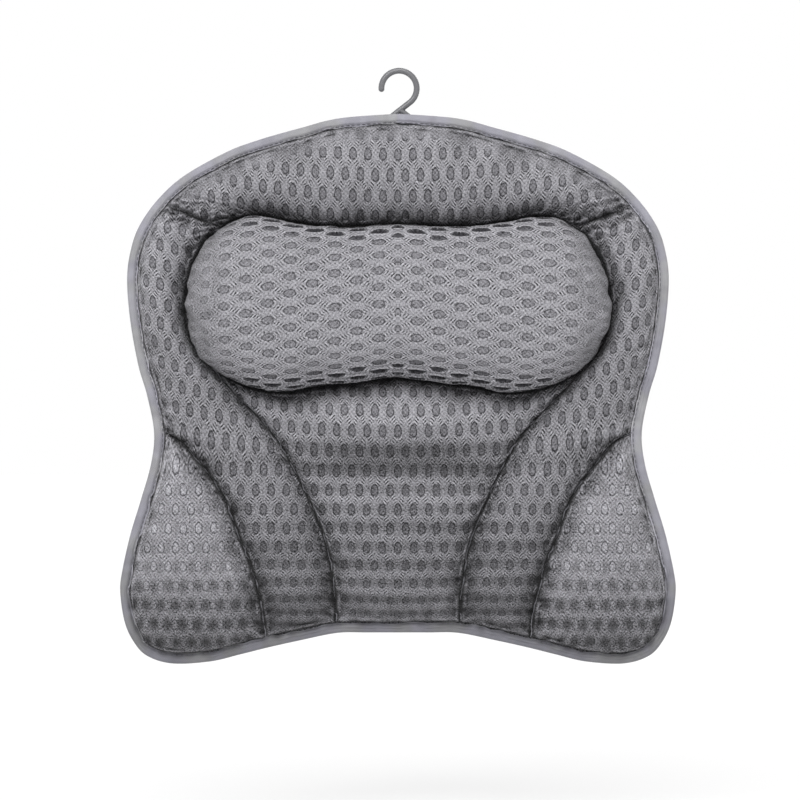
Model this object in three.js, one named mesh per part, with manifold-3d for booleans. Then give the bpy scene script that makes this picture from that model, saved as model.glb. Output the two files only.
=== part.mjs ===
// Bath pillow of quilted air mesh with a neck roll, suction cups and a hanging hook.
// Millimetres. +X is to the right, +Z is up and the front faces -Y.
// The plane Y = 0 is the tub's wall, and the middle suction cup is centred on the origin.
// A depth is a distance in front of the wall, so it is the negative of Y.
import * as THREE from 'three'
import { mergeVertices } from 'three/addons/utils/BufferGeometryUtils.js'
import loadManifold from 'manifold-3d'

const wasm = await loadManifold()
wasm.setup()

// Clearances
const sewnGap = 0.3
const fillGap = 0.8
const runningGap = 0.4

// Pillow body
const pillowWidth = 380
const pillowHeight = 376
const archCrown = 20
const sideCrown = 18
const bandCrown = 14
const centreCrown = 20
const wingCrown = 17
const cornerCreaseHeight = 8
const backCrown = 8

// Covers
const frontThickness = 4
const frontSeamThickness = 1.8
const backThickness = 2.5
const backSeamThickness = 1.3
const fullThicknessRise = 9

// Edge binding, a folded tape
const tapeThickness = 1
const tapeWidth = 7
const tapeToSwell = 0.6

// Neck roll
const rollHeight = 121
const rollBelowTop = 70
const rollToSide = 44
const waistBelowRoll = 27
const rollLobeCrown = 50
const rollWaistCrown = 44
const rollEndRadius = 42
const rollCoverThickness = 4
const rollUndercutAngle = THREE.MathUtils.degToRad(25)

// Suction cups
const cupDiameter = 50
const cupDepth = 12
const cupHollow = 3.2
const cupHollowShare = 0.8
const cupRimWidth = 3.5
const cupLip = 1.2
const cupShoulderDiameter = 15
const cupShoulderDrop = 2
const neckDiameter = 8
const buttonDiameter = 13
const buttonThickness = 3.5
const buttonToCover = 0.6

// Places of the suction cups
const middleCupSpread = 200
const topCupSpread = 116
const topCupBelowTop = 39
const wingCupToSide = 48
const wingCupAboveFoot = 50

// Eyelets and tabs that hold the cups
const eyeletFlange = 0.9
const eyeletBarrel = 1
const eyeletDiameter = 16
const tabThickness = 1.2
const tabWidth = 22
const tabLength = 52
const tabBridge = 20
const tabSlope = 6

// Hanging hook and its loop
const hookRod = 4.2
const hookRingDiameter = 28.4
const hookRingAboveTop = 17.9
const hookRingOffset = 0.8
const hookBarBelowTop = 7.5
const hookCornerRadius = 2.8
const hookStepLength = 3
const hookTipAngle = THREE.MathUtils.degToRad(190)
const hookLeaveAngle = THREE.MathUtils.degToRad(-52)
const loopThickness = 1.2
const loopTailLength = 10

// Heights and depths worked out from the sizes above
const topAboveOrigin = rollBelowTop + rollHeight / 2
const waistLevel = topAboveOrigin - rollBelowTop - rollHeight - waistBelowRoll
const bottomLevel = topAboveOrigin - pillowHeight
const halfGap = sewnGap / 2
const eyeletThickness = tabThickness + 2 * (eyeletFlange + sewnGap)
const neckLength = eyeletThickness + 2 * runningGap
const backDepth = cupDepth + neckLength + buttonThickness + buttonToCover
const seamDepth = backDepth + backCrown + backSeamThickness + halfGap
const coverSeamDepth = seamDepth + halfGap + frontSeamThickness
const tapeFrontDepth = coverSeamDepth + sewnGap + tapeThickness
const tapeBackDepth = seamDepth - halfGap - backSeamThickness - sewnGap - tapeThickness

// Right half of the outline as shares of the half width and of a height above the waist,
// and below that of a height above the lowest point.
// Each stretch starts at the last point of the one before it.
const upperOutlineShares = {
  top: [
    [0, 1], [0.209, 0.986], [0.352, 0.955], [0.504, 0.917],
    [0.619, 0.879], [0.77, 0.805], [0.862, 0.733],
  ],
  side: [
    [0.928, 0.653], [0.96, 0.579], [0.975, 0.485], [0.964, 0.353],
    [0.935, 0.212], [0.903, 0.116], [0.878, 0],
  ],
}
const lowerOutlineShares = {
  wingSide: [
    [0.889, 0.864], [0.925, 0.71], [0.964, 0.555], [0.993, 0.398],
    [1, 0.312], [0.986, 0.19], [0.957, 0.105],
  ],
  wingFoot: [[0.906, 0.035], [0.813, 0], [0.676, 0.0086], [0.568, 0.039], [0.468, 0.069]],
  bandFoot: [[0.352, 0.1], [0.219, 0.132]],
  centreFoot: [[0.11, 0.134], [0, 0.134]],
}

// Half of the neck roll's outline as shares of its half length and height
const rollShares = {
  top: [
    [0, 0.952], [0.267, 0.938], [0.375, 0.944], [0.52, 0.972],
    [0.637, 1], [0.735, 0.989], [0.829, 0.932],
  ],
  end: [[0.913, 0.831], [0.97, 0.685], [1, 0.47], [0.974, 0.313], [0.927, 0.206], [0.867, 0.132]],
  bottom: [[0.778, 0.07], [0.665, 0.02], [0.52, 0.003], [0.375, 0.031], [0.234, 0.054], [0, 0.09]],
}

// Quilting seams as shares of the run from the seam's foot to its start
const innerSeamShares = [
  [0.815, 0.902], [0.629, 0.813], [0.444, 0.699], [0.226, 0.496], [0.073, 0.305], [0.008, 0.102],
]
const outerSeamShares = [
  [0.843, 0.957], [0.667, 0.857], [0.491, 0.746], [0.361, 0.627],
  [0.259, 0.488], [0.157, 0.364], [0.083, 0.244], [0.028, 0.124],
]

// Numbers of steps in the sheet's net, even ones so that a filling takes every second line
const acrossSteps = 8
const bandSteps = 4
const rollEndSteps = 4
const innerSeamSteps = 10
const sideSteps = 8
const outerSeamSteps = rollEndSteps + innerSeamSteps - sideSteps
const rollLevels = 6
const cupSegments = 16
const eyeletSegments = 12
const rodSides = 8
const hookRingSteps = 16
const cornerSteps = 3
const finePerStep = 12

// Plain shape factors
const fullness = 0.7
const backFlatness = 2.2
const cornerFall = 4
const softCreaseShare = 0.3
const softCreaseDip = 0.16
const fillEdgeShare = 0.6
const fillEdgeHeightShare = 0.4
const smallestArea = 1e-6

// Materials
const meshFabric = new THREE.MeshStandardMaterial({ color: '#8a898e', roughness: 0.9, metalness: 0 })
const bindingTape = new THREE.MeshStandardMaterial({ color: '#9f9ea6', roughness: 0.8, metalness: 0 })
const fibreFill = new THREE.MeshStandardMaterial({ color: '#e9e8e4', roughness: 1, metalness: 0 })
const greyPlastic = new THREE.MeshStandardMaterial({ color: '#7f7f82', roughness: 0.4, metalness: 0 })
const clearPlastic = new THREE.MeshStandardMaterial({ color: '#dfe3e4', roughness: 0.2, metalness: 0 })
const webbing = new THREE.MeshStandardMaterial({ color: '#77767b', roughness: 0.9, metalness: 0 })

const pillow = new THREE.Group()

function addPart(name, geometry, material) {
  const mesh = new THREE.Mesh(geometry, material.clone())
  mesh.name = name
  pillow.add(mesh)
  return mesh
}

// Closed meshes from loose triangles
function addTriangle(surface, a, b, c) {
  const area = new THREE.Triangle(a, b, c).getArea()
  if (area > smallestArea) surface.push(a, b, c)
}

function addTriangleToward(surface, a, b, c, direction) {
  const normal = new THREE.Triangle(a, b, c).getNormal(new THREE.Vector3())
  if (normal.dot(direction) >= 0) addTriangle(surface, a, b, c)
  else addTriangle(surface, a, c, b)
}

function addQuadToward(surface, a, b, c, d, direction) {
  addTriangleToward(surface, a, b, c, direction)
  addTriangleToward(surface, a, c, d, direction)
}

function signedVolume(geometry) {
  const place = geometry.getAttribute('position')
  const index = geometry.getIndex()
  const corners = [new THREE.Vector3(), new THREE.Vector3(), new THREE.Vector3()]
  let volume = 0
  for (let i = 0; i < index.count; i += 3) {
    corners.forEach((corner, k) => corner.fromBufferAttribute(place, index.getX(i + k)))
    volume += corners[0].dot(corners[1].clone().cross(corners[2]))
  }
  return volume
}

function facingOut(geometry) {
  if (signedVolume(geometry) > 0) return geometry
  const index = geometry.getIndex()
  for (let i = 0; i < index.count; i += 3) {
    const second = index.getX(i + 1)
    index.setX(i + 1, index.getX(i + 2))
    index.setX(i + 2, second)
  }
  return geometry
}

function closedGeometry(surface) {
  const geometry = new THREE.BufferGeometry().setFromPoints(surface)
  return facingOut(mergeVertices(geometry))
}

// Rings of points, each joined to the next, as one surface
function addRings(surface, rings) {
  for (let k = 1; k < rings.length; k += 1) {
    const near = rings[k - 1]
    const far = rings[k]
    near.forEach((point, i) => {
      const next = (i + 1) % near.length
      addTriangle(surface, point, near[next], far[next])
      addTriangle(surface, point, far[next], far[i])
    })
  }
}

// Solids for cutting and joining
function solidOf(geometry) {
  const bare = geometry.clone()
  bare.deleteAttribute('normal')
  bare.deleteAttribute('uv')
  const merged = facingOut(mergeVertices(bare))
  const vertProperties = new Float32Array(merged.getAttribute('position').array)
  const triVerts = new Uint32Array(merged.getIndex().array)
  const mesh = new wasm.Mesh({ numProp: 3, vertProperties, triVerts })
  mesh.merge()
  return new wasm.Manifold(mesh)
}

function geometryOf(solid) {
  const mesh = solid.getMesh()
  const geometry = new THREE.BufferGeometry()
  geometry.setAttribute('position', new THREE.BufferAttribute(mesh.vertProperties, 3))
  geometry.setIndex(new THREE.BufferAttribute(mesh.triVerts, 1))
  return geometry
}

// Plan points and curves, x to the right and y up
function placedIn(shareTable, xSize, zStart, zEnd) {
  const place = ([xShare, zShare]) => (
    new THREE.Vector2(xSize * xShare, THREE.MathUtils.lerp(zStart, zEnd, zShare))
  )
  return Object.fromEntries(Object.entries(shareTable).map(([name, shares]) => [name, shares.map(place)]))
}

function evenPoints(points, steps) {
  const lengths = [0]
  for (let i = 1; i < points.length; i += 1) {
    lengths.push(lengths[i - 1] + points[i].distanceTo(points[i - 1]))
  }
  const result = []
  let segment = 1
  for (let i = 0; i <= steps; i += 1) {
    const target = lengths[lengths.length - 1] * i / steps
    while (segment < points.length - 1 && lengths[segment] < target) segment += 1
    const share = (target - lengths[segment - 1]) / (lengths[segment] - lengths[segment - 1])
    result.push(points[segment - 1].clone().lerp(points[segment], share))
  }
  return result
}

// Evenly spaced points on the stretch of a smooth curve between two of its own points
function stretch(points, from, to, steps) {
  const curve = new THREE.SplineCurve(points)
  const last = points.length - 1
  const fine = []
  const count = steps * finePerStep
  for (let i = 0; i <= count; i += 1) {
    fine.push(curve.getPoint(THREE.MathUtils.lerp(from, to, i / count) / last))
  }
  return evenPoints(fine, steps)
}

function stretches(places, steps) {
  const points = Object.values(places).flat()
  const rails = {}
  let from = 0
  let to = -1
  for (const [name, own] of Object.entries(places)) {
    to += own.length
    rails[name] = stretch(points, from, to, steps[name])
    from = to
  }
  return rails
}

function straight(start, end, steps) {
  return evenPoints([start, end], steps)
}

function seam(start, foot, shares, steps) {
  const run = start.clone().sub(foot)
  const inner = shares.map(([xShare, zShare]) => (
    new THREE.Vector2(foot.x + run.x * xShare, foot.y + run.y * zShare)
  ))
  const points = [start, ...inner, foot]
  return stretch(points, 0, points.length - 1, steps)
}

function mirrored(point) {
  return new THREE.Vector2(-point.x, point.y)
}

// A closed loop, clockwise from the top middle as seen from the front, from its right half
function wholeLoop(half) {
  const left = half.slice(1, -1).reverse().map(mirrored)
  return [...half, ...left]
}

function insetLoop(loop, distance) {
  return loop.map((point, i) => {
    const before = loop[(i + loop.length - 1) % loop.length]
    const after = loop[(i + 1) % loop.length]
    const along = after.clone().sub(before).normalize()
    return new THREE.Vector2(point.x + along.y * distance, point.y - along.x * distance)
  })
}

// The outline, and the two lines inside it: the covers' cut edge and the foot of their swell
const halfWidth = pillowWidth / 2
const outlineSteps = {
  top: acrossSteps,
  side: sideSteps,
  wingSide: outerSeamSteps,
  wingFoot: bandSteps,
  bandFoot: bandSteps,
  centreFoot: acrossSteps,
}
const outlinePlaces = {
  ...placedIn(upperOutlineShares, halfWidth, waistLevel, topAboveOrigin),
  ...placedIn(lowerOutlineShares, halfWidth, bottomLevel, waistLevel),
}
const outlineRails = stretches(outlinePlaces, outlineSteps)
const halfOutline = Object.values(outlineRails).flatMap((rail, i) => (i === 0 ? rail : rail.slice(1)))
const outline = wholeLoop(halfOutline)
const cutEdge = insetLoop(outline, tapeThickness + sewnGap)
const swellFoot = insetLoop(outline, tapeWidth + tapeToSwell)

function footRail(name) {
  const names = Object.keys(outlineSteps)
  const before = names.slice(0, names.indexOf(name)).reduce((sum, each) => sum + outlineSteps[each], 0)
  return swellFoot.slice(before, before + outlineSteps[name] + 1)
}

// The neck roll's outline on the pillow
const rollHalfLength = halfWidth - rollToSide
const rollTopLevel = topAboveOrigin - rollBelowTop
const rollSteps = { top: acrossSteps, end: rollEndSteps, bottom: acrossSteps }
const rollPlaces = placedIn(rollShares, rollHalfLength, rollTopLevel - rollHeight, rollTopLevel)
const rollRails = stretches(rollPlaces, rollSteps)
const rollUpperCorner = rollRails.end[0]
const rollLowerCorner = rollRails.end[rollEndSteps]

// Seams of the right half
const creaseLine = straight(footRail('side')[0], rollUpperCorner, bandSteps)
const innerSeam = seam(rollLowerCorner, footRail('centreFoot')[0], innerSeamShares, innerSeamSteps)
const outerSeam = seam(footRail('wingSide')[0], footRail('bandFoot')[0], outerSeamShares, outerSeamSteps)

// A net of points between four edges, each interior point blended from all four.
// heights gives the swell of the front and of the back at a place in the net.
function net(firstRow, lastRow, firstColumn, lastColumn, heights) {
  const columns = firstRow.length - 1
  const rows = firstColumn.length - 1
  const points = []
  for (let j = 0; j <= rows; j += 1) {
    const v = j / rows
    const line = []
    for (let i = 0; i <= columns; i += 1) {
      const u = i / columns
      const along = firstRow[i].clone().lerp(lastRow[i], v)
      const across = firstColumn[j].clone().lerp(lastColumn[j], u)
      const nearCorner = firstRow[0].clone().lerp(firstRow[columns], u)
      const farCorner = lastRow[0].clone().lerp(lastRow[columns], u)
      const plan = along.add(across).sub(nearCorner.lerp(farCorner, v))
      line.push({ plan, ...heights(u, v) })
    }
    points.push(line)
  }
  return points
}

function swell(share) {
  return Math.pow(Math.max(0, Math.sin(Math.PI * share)), fullness)
}

function flatSwell(share) {
  return Math.min(1, backFlatness * swell(share))
}

function halfSwell(share) {
  return swell((1 - share) / 2)
}

function flatHalfSwell(share) {
  return flatSwell((1 - share) / 2)
}

function profile(table, share) {
  const next = Math.max(1, table.findIndex(([place]) => place >= share))
  const [fromPlace, fromHeight] = table[next - 1]
  const [toPlace, toHeight] = table[next]
  return THREE.MathUtils.mapLinear(share, fromPlace, toPlace, fromHeight, toHeight)
}

const sideRidgeShares = [0, 0.15, 0.5, 0.7, 0.93, 1]
const sideRidgeHeights = [cornerCreaseHeight, sideCrown, sideCrown, bandCrown, bandCrown, 0]
const sideRidge = sideRidgeShares.map((share, i) => [share, sideRidgeHeights[i]])
const sideBackRidge = [[0, backCrown], [sideRidgeShares[4], backCrown], [1, 0]]

function archHeights(u, v) {
  const crown = THREE.MathUtils.lerp(archCrown, cornerCreaseHeight, Math.pow(u, cornerFall))
  return { front: crown * swell(v), back: backCrown * flatSwell(v) }
}

function sideHeights(u, v) {
  return { front: profile(sideRidge, v) * swell(u), back: profile(sideBackRidge, v) * flatSwell(u) }
}

function wingHeights(u, v) {
  return { front: wingCrown * swell(u) * flatSwell(v), back: backCrown * flatSwell(u) * flatSwell(v) }
}

function centreHeights(u, v) {
  const distance = (v - softCreaseShare) * innerSeamSteps
  const dip = 1 - softCreaseDip * Math.exp(-distance * distance)
  const front = centreCrown * dip * halfSwell(u) * flatSwell(v)
  return { front, back: backCrown * flatHalfSwell(u) * flatSwell(v) }
}

function rollBaseHeights(u, v) {
  return { front: 0, back: backCrown * flatHalfSwell(u) * flatSwell(v) }
}

const outerRail = [...footRail('side'), ...outerSeam.slice(1)]
const innerRail = [...rollRails.end, ...innerSeam.slice(1)]
const rollBottomOutward = [...rollRails.bottom].reverse()
const centreFootOutward = [...footRail('centreFoot')].reverse()
const waistPoint = footRail('wingSide')[0]
const waistRow = Array.from({ length: bandSteps + 1 }, () => waistPoint)

const nets = {
  arch: net(
    footRail('top'), rollRails.top,
    straight(footRail('top')[0], rollRails.top[0], bandSteps), creaseLine, archHeights,
  ),
  side: net(creaseLine, footRail('bandFoot'), outerRail, innerRail, sideHeights),
  wing: net(waistRow, footRail('wingFoot'), footRail('wingSide'), outerSeam, wingHeights),
  centre: net(
    rollBottomOutward, centreFootOutward,
    straight(rollBottomOutward[0], centreFootOutward[0], innerSeamSteps), innerSeam, centreHeights,
  ),
  rollBase: net(
    rollRails.top, rollBottomOutward,
    straight(rollRails.top[0], rollBottomOutward[0], rollEndSteps), rollRails.end, rollBaseHeights,
  ),
}

// Depths of the two covers where the quilting swells by a given height
function layerThickness(seamThickness, fullThickness, height) {
  return THREE.MathUtils.lerp(seamThickness, fullThickness, Math.min(1, height / fullThicknessRise))
}

function frontDepths({ front }) {
  const outer = coverSeamDepth + front
  return { outer, inner: outer - layerThickness(frontSeamThickness, frontThickness, front) }
}

function backDepths({ back }) {
  const outer = seamDepth - halfGap - backSeamThickness - back
  return { outer, inner: outer + layerThickness(backSeamThickness, backThickness, back) }
}

function spot(plan, depth) {
  return new THREE.Vector3(plan.x, -depth, plan.y)
}

const towardFront = new THREE.Vector3(0, -1, 0)
const towardWall = new THREE.Vector3(0, 1, 0)

function mirrorNet(points) {
  return points.map((line) => line.map((cell) => ({ ...cell, plan: mirrored(cell.plan) })))
}

// The smaller of the two facets that a cell has when it is split from its first corner
function smallerFacet(cells) {
  const [a, b, c, d] = cells.map((cell) => cell.plan)
  const whole = THREE.ShapeUtils.area([a, b, c, d])
  return Math.min(...[[a, b, c], [a, c, d]].map((facet) => THREE.ShapeUtils.area(facet) / whole))
}

function fullerSplit(cells) {
  const turned = [...cells.slice(1), cells[0]]
  return smallerFacet(turned) > smallerFacet(cells) ? turned : cells
}

function addNet(surface, points, depthOf, direction) {
  for (let j = 1; j < points.length; j += 1) {
    for (let i = 1; i < points[j].length; i += 1) {
      const cells = [points[j - 1][i - 1], points[j - 1][i], points[j][i], points[j][i - 1]]
      const corners = fullerSplit(cells).map((cell) => spot(cell.plan, depthOf(cell)))
      addQuadToward(surface, ...corners, direction)
    }
  }
}

// A strip between two plan loops at one depth
function addFlatStrip(surface, inside, outside, depth, direction) {
  inside.forEach((point, i) => {
    const next = (i + 1) % inside.length
    const corners = [point, inside[next], outside[next], outside[i]].map((each) => spot(each, depth))
    addQuadToward(surface, ...corners, direction)
  })
}

// The upright edge of a sheet or pad, round a plan loop
function addWall(surface, loop, depthsOf) {
  const turn = Math.sign(THREE.ShapeUtils.area(loop.map((cell) => cell.plan)))
  loop.forEach((cell, i) => {
    const next = loop[(i + 1) % loop.length]
    const run = next.plan.clone().sub(cell.plan)
    const out = new THREE.Vector3(run.y * turn, 0, -run.x * turn)
    const near = depthsOf(cell)
    const far = depthsOf(next)
    addQuadToward(
      surface,
      spot(cell.plan, near[0]), spot(next.plan, far[0]), spot(next.plan, far[1]), spot(cell.plan, near[1]),
      out,
    )
  })
}

// One cover: every panel of the quilt, both halves, and the flat margin under the binding
function coverSheet(depthsOf, outerDirection) {
  const surface = []
  const innerDirection = outerDirection.clone().negate()
  for (const half of Object.values(nets)) {
    for (const points of [half, mirrorNet(half)]) {
      addNet(surface, points, (cell) => depthsOf(cell).outer, outerDirection)
      addNet(surface, points, (cell) => depthsOf(cell).inner, innerDirection)
    }
  }
  const margin = depthsOf({ front: 0, back: 0 })
  addFlatStrip(surface, swellFoot, cutEdge, margin.outer, outerDirection)
  addFlatStrip(surface, swellFoot, cutEdge, margin.inner, innerDirection)
  const edge = cutEdge.map((plan) => ({ plan }))
  addWall(surface, edge, () => [margin.outer, margin.inner])
  return closedGeometry(surface)
}

addPart('front_cover', coverSheet(frontDepths, towardFront), meshFabric)
addPart('back_cover', coverSheet(backDepths, towardWall), meshFabric)

// Fillings, each a pad in one pocket of the quilt
function wholeNet(half) {
  const left = mirrorNet(half).map((line) => line.slice(1).reverse())
  return half.map((line, j) => [...left[j], ...line])
}

function between(points, column, row) {
  const i = Math.min(Math.floor(column), points[0].length - 2)
  const j = Math.min(Math.floor(row), points.length - 2)
  const u = column - i
  const v = row - j
  const blend = (read) => THREE.MathUtils.lerp(
    THREE.MathUtils.lerp(read(points[j][i]), read(points[j][i + 1]), u),
    THREE.MathUtils.lerp(read(points[j + 1][i]), read(points[j + 1][i + 1]), u),
    v,
  )
  const plan = new THREE.Vector2(blend((cell) => cell.plan.x), blend((cell) => cell.plan.y))
  return { plan, front: blend((cell) => cell.front), back: blend((cell) => cell.back) }
}

// Every second line of the net, with the outer lines half a step inside the seams
function everySecond(steps, extra = []) {
  const inner = Array.from({ length: steps / 2 - 1 }, (_, i) => 2 * i + 2)
  return [fillEdgeShare, ...inner, ...extra, steps - fillEdgeShare].sort((a, b) => a - b)
}

// Every line of the net along a curved pocket, so that its filling follows the seams
function everyLine(steps, first) {
  const inner = Array.from({ length: steps - first - 1 }, (_, i) => first + i + 1)
  return [first + fillEdgeShare, ...inner, steps - fillEdgeShare]
}

function padIn(points, columns, rows) {
  const cells = rows.map((row, j) => columns.map((column, i) => {
    const cell = between(points, column, row)
    const onEdge = i === 0 || j === 0 || i === columns.length - 1 || j === rows.length - 1
    const share = onEdge ? fillEdgeHeightShare : 1
    const gap = onEdge ? sewnGap : fillGap
    return { plan: cell.plan, front: cell.front * share, back: cell.back * share, gap }
  }))
  const frontOf = (cell) => frontDepths(cell).inner - cell.gap
  const backOf = (cell) => backDepths(cell).inner + cell.gap
  const surface = []
  addNet(surface, cells, frontOf, towardFront)
  addNet(surface, cells, backOf, towardWall)
  const lastRow = cells[cells.length - 1]
  const right = cells.slice(1, -1).map((line) => line[line.length - 1])
  const left = cells.slice(1, -1).map((line) => line[0]).reverse()
  const loop = [...cells[0], ...right, ...[...lastRow].reverse(), ...left]
  addWall(surface, loop, (cell) => [frontOf(cell), backOf(cell)])
  return closedGeometry(surface)
}

const acrossColumns = everySecond(2 * acrossSteps)
const bandColumns = everySecond(bandSteps)
const centreRows = everySecond(innerSeamSteps, [softCreaseShare * innerSeamSteps])
const sideRows = everyLine(rollEndSteps + innerSeamSteps, 0)
const wingRows = everyLine(outerSeamSteps, 1)

addPart('upper_arch_pad', padIn(wholeNet(nets.arch), acrossColumns, bandColumns), fibreFill)
addPart('centre_pad', padIn(wholeNet(nets.centre), acrossColumns, centreRows), fibreFill)
addPart('roll_base_pad', padIn(wholeNet(nets.rollBase), acrossColumns, everySecond(rollEndSteps)), fibreFill)
addPart('right_side_pad', padIn(nets.side, bandColumns, sideRows), fibreFill)
addPart('left_side_pad', padIn(mirrorNet(nets.side), bandColumns, sideRows), fibreFill)
addPart('right_wing_pad', padIn(nets.wing, bandColumns, wingRows), fibreFill)
addPart('left_wing_pad', padIn(mirrorNet(nets.wing), bandColumns, wingRows), fibreFill)

// Edge binding: the folded tape's section carried round the outline
function bindingRings() {
  const corner = tapeThickness / 2
  const section = [
    [tapeWidth, tapeFrontDepth],
    [corner, tapeFrontDepth],
    [0, tapeFrontDepth - corner],
    [0, tapeBackDepth + corner],
    [corner, tapeBackDepth],
    [tapeWidth, tapeBackDepth],
    [tapeWidth, tapeBackDepth + tapeThickness],
    [tapeThickness, tapeBackDepth + tapeThickness],
    [tapeThickness, tapeFrontDepth - tapeThickness],
    [tapeWidth, tapeFrontDepth - tapeThickness],
  ]
  const rings = section.map(([inset, depth]) => (
    insetLoop(outline, inset).map((plan) => spot(plan, depth))
  ))
  return [...rings, rings[0]]
}

const bindingSurface = []
addRings(bindingSurface, bindingRings())
addPart('edge_binding', closedGeometry(bindingSurface), bindingTape)

// Neck roll: sections from the outline up to a straight spine along its middle
const rollOutline = wholeLoop([...rollRails.top, ...rollRails.end.slice(1), ...rollRails.bottom.slice(1)])
const rollMiddleLevel = rollTopLevel - rollHeight / 2
const spineHalfLength = rollHalfLength - rollEndRadius
const rollSeat = coverSeamDepth + sewnGap

function spineShare(index) {
  const half = 2 * acrossSteps + rollEndSteps
  const fromTop = index <= half ? index : 2 * half - index
  const fromMiddle = Math.min(fromTop, half - fromTop, acrossSteps)
  return (index <= half ? 1 : -1) * fromMiddle / acrossSteps
}

function rollRing(inset, lift, level) {
  return rollOutline.map((plan, i) => {
    const share = spineShare(i)
    const spinePoint = new THREE.Vector2(spineHalfLength * share, rollMiddleLevel)
    const waist = Math.pow(Math.cos(Math.PI / 2 * Math.min(1, Math.abs(share))), 2)
    const crown = THREE.MathUtils.lerp(rollLobeCrown, rollWaistCrown, waist)
    const undercut = Math.sin(rollUndercutAngle)
    const equator = crown * undercut / (1 + undercut)
    const rise = crown - equator - inset
    const start = -Math.asin((equator - lift) / rise)
    const angle = THREE.MathUtils.lerp(start, Math.PI / 2, level / rollLevels)
    const out = plan.clone().sub(spinePoint)
    const reach = (out.length() - inset) * Math.cos(angle)
    const place = spinePoint.add(out.setLength(level === rollLevels ? 0 : reach))
    return spot(place, rollSeat + equator + rise * Math.sin(angle))
  })
}

const allLevels = Array.from({ length: rollLevels + 1 }, (_, level) => level)

const rollCoverSurface = []
const rollInside = allLevels.map((level) => rollRing(rollCoverThickness, 0, level)).reverse()
const rollOutside = allLevels.map((level) => rollRing(0, 0, level))
addRings(rollCoverSurface, [...rollInside, ...rollOutside])
addPart('neck_roll_cover', closedGeometry(rollCoverSurface), meshFabric)

const rollFillSurface = []
const rollFillRings = allLevels.map((level) => rollRing(rollCoverThickness + fillGap, fillGap, level))
const rollFillFloor = rollFillRings[0].map((point, i) => (
  new THREE.Vector3(spineHalfLength * spineShare(i), point.y, rollMiddleLevel)
))
addRings(rollFillSurface, [rollFillFloor, ...rollFillRings])
addPart('neck_roll_filling', closedGeometry(rollFillSurface), fibreFill)

// Suction cup: thin lip, shallow hollow, domed back, neck and button in one moulding
const cupSection = [
  [0, cupHollow],
  [cupDiameter / 4, cupHollow * cupHollowShare],
  [cupDiameter / 2 - cupRimWidth, 0],
  [cupDiameter / 2, 0],
  [cupDiameter / 2, cupLip],
  [cupDiameter / 4 + cupShoulderDiameter / 4, (cupDepth - cupShoulderDrop + cupLip) / 2 + cupLip],
  [cupShoulderDiameter / 2, cupDepth - cupShoulderDrop],
  [neckDiameter / 2, cupDepth],
  [neckDiameter / 2, cupDepth + neckLength],
  [buttonDiameter / 2, cupDepth + neckLength],
  [buttonDiameter / 2, cupDepth + neckLength + buttonThickness / 2],
  [neckDiameter / 2, cupDepth + neckLength + buttonThickness],
  [0, cupDepth + neckLength + buttonThickness],
]

function revolved(section, segments) {
  const points = section.map(([radius, depth]) => new THREE.Vector2(radius, -depth))
  const lathe = new THREE.LatheGeometry(points, segments)
  lathe.deleteAttribute('normal')
  lathe.deleteAttribute('uv')
  return facingOut(mergeVertices(lathe))
}

// Eyelet: a barrel between two flanges that grip the tab
const eyeletStart = cupDepth + runningGap
const eyeletEnd = eyeletStart + eyeletThickness
const eyeletBore = neckDiameter / 2 + runningGap
const eyeletSection = [
  [eyeletBore, eyeletStart],
  [eyeletDiameter / 2, eyeletStart],
  [eyeletDiameter / 2, eyeletStart + eyeletFlange],
  [eyeletBore + eyeletBarrel, eyeletStart + eyeletFlange],
  [eyeletBore + eyeletBarrel, eyeletEnd - eyeletFlange],
  [eyeletDiameter / 2, eyeletEnd - eyeletFlange],
  [eyeletDiameter / 2, eyeletEnd],
  [eyeletBore, eyeletEnd],
  [eyeletBore, eyeletStart],
]

// Tab: webbing sewn to the back cover at its ends and bridging over the cup's button
function tabGeometry() {
  const middle = eyeletStart + eyeletFlange + sewnGap
  const end = backDepth - sewnGap - tabThickness
  const half = tabLength / 2
  const bridge = tabBridge / 2
  const foot = bridge + tabSlope
  const near = [[-half, end], [-foot, end], [-bridge, middle], [bridge, middle], [foot, end], [half, end]]
  const far = near.map(([x, depth]) => [x, depth + tabThickness]).reverse()
  const shape = new THREE.Shape([...near, ...far].map(([x, depth]) => new THREE.Vector2(x, -depth)))
  const strip = new THREE.ExtrudeGeometry(shape, { depth: tabWidth, bevelEnabled: false })
  strip.translate(0, 0, -tabWidth / 2)
  const holeRadius = eyeletBore + eyeletBarrel + sewnGap
  const hole = new THREE.CylinderGeometry(holeRadius, holeRadius, backDepth, eyeletSegments)
  hole.translate(0, -middle, 0)
  return geometryOf(solidOf(strip).subtract(solidOf(hole)))
}

const topCupLevel = topAboveOrigin - topCupBelowTop
const wingCupLevel = bottomLevel + wingCupAboveFoot
const wingCupOut = halfWidth - wingCupToSide
const cupPlaces = {
  centre: [0, 0],
  middle_right: [middleCupSpread / 2, 0],
  middle_left: [-middleCupSpread / 2, 0],
  top_right: [topCupSpread / 2, topCupLevel],
  top_left: [-topCupSpread / 2, topCupLevel],
  wing_right: [wingCupOut, wingCupLevel],
  wing_left: [-wingCupOut, wingCupLevel],
}
for (const [name, [x, z]] of Object.entries(cupPlaces)) {
  addPart(`suction_cup_${name}`, revolved(cupSection, cupSegments), clearPlastic).position.set(x, 0, z)
  addPart(`cup_eyelet_${name}`, revolved(eyeletSection, eyeletSegments), greyPlastic).position.set(x, 0, z)
  addPart(`cup_tab_${name}`, tabGeometry(), webbing).position.set(x, 0, z)
}

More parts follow.
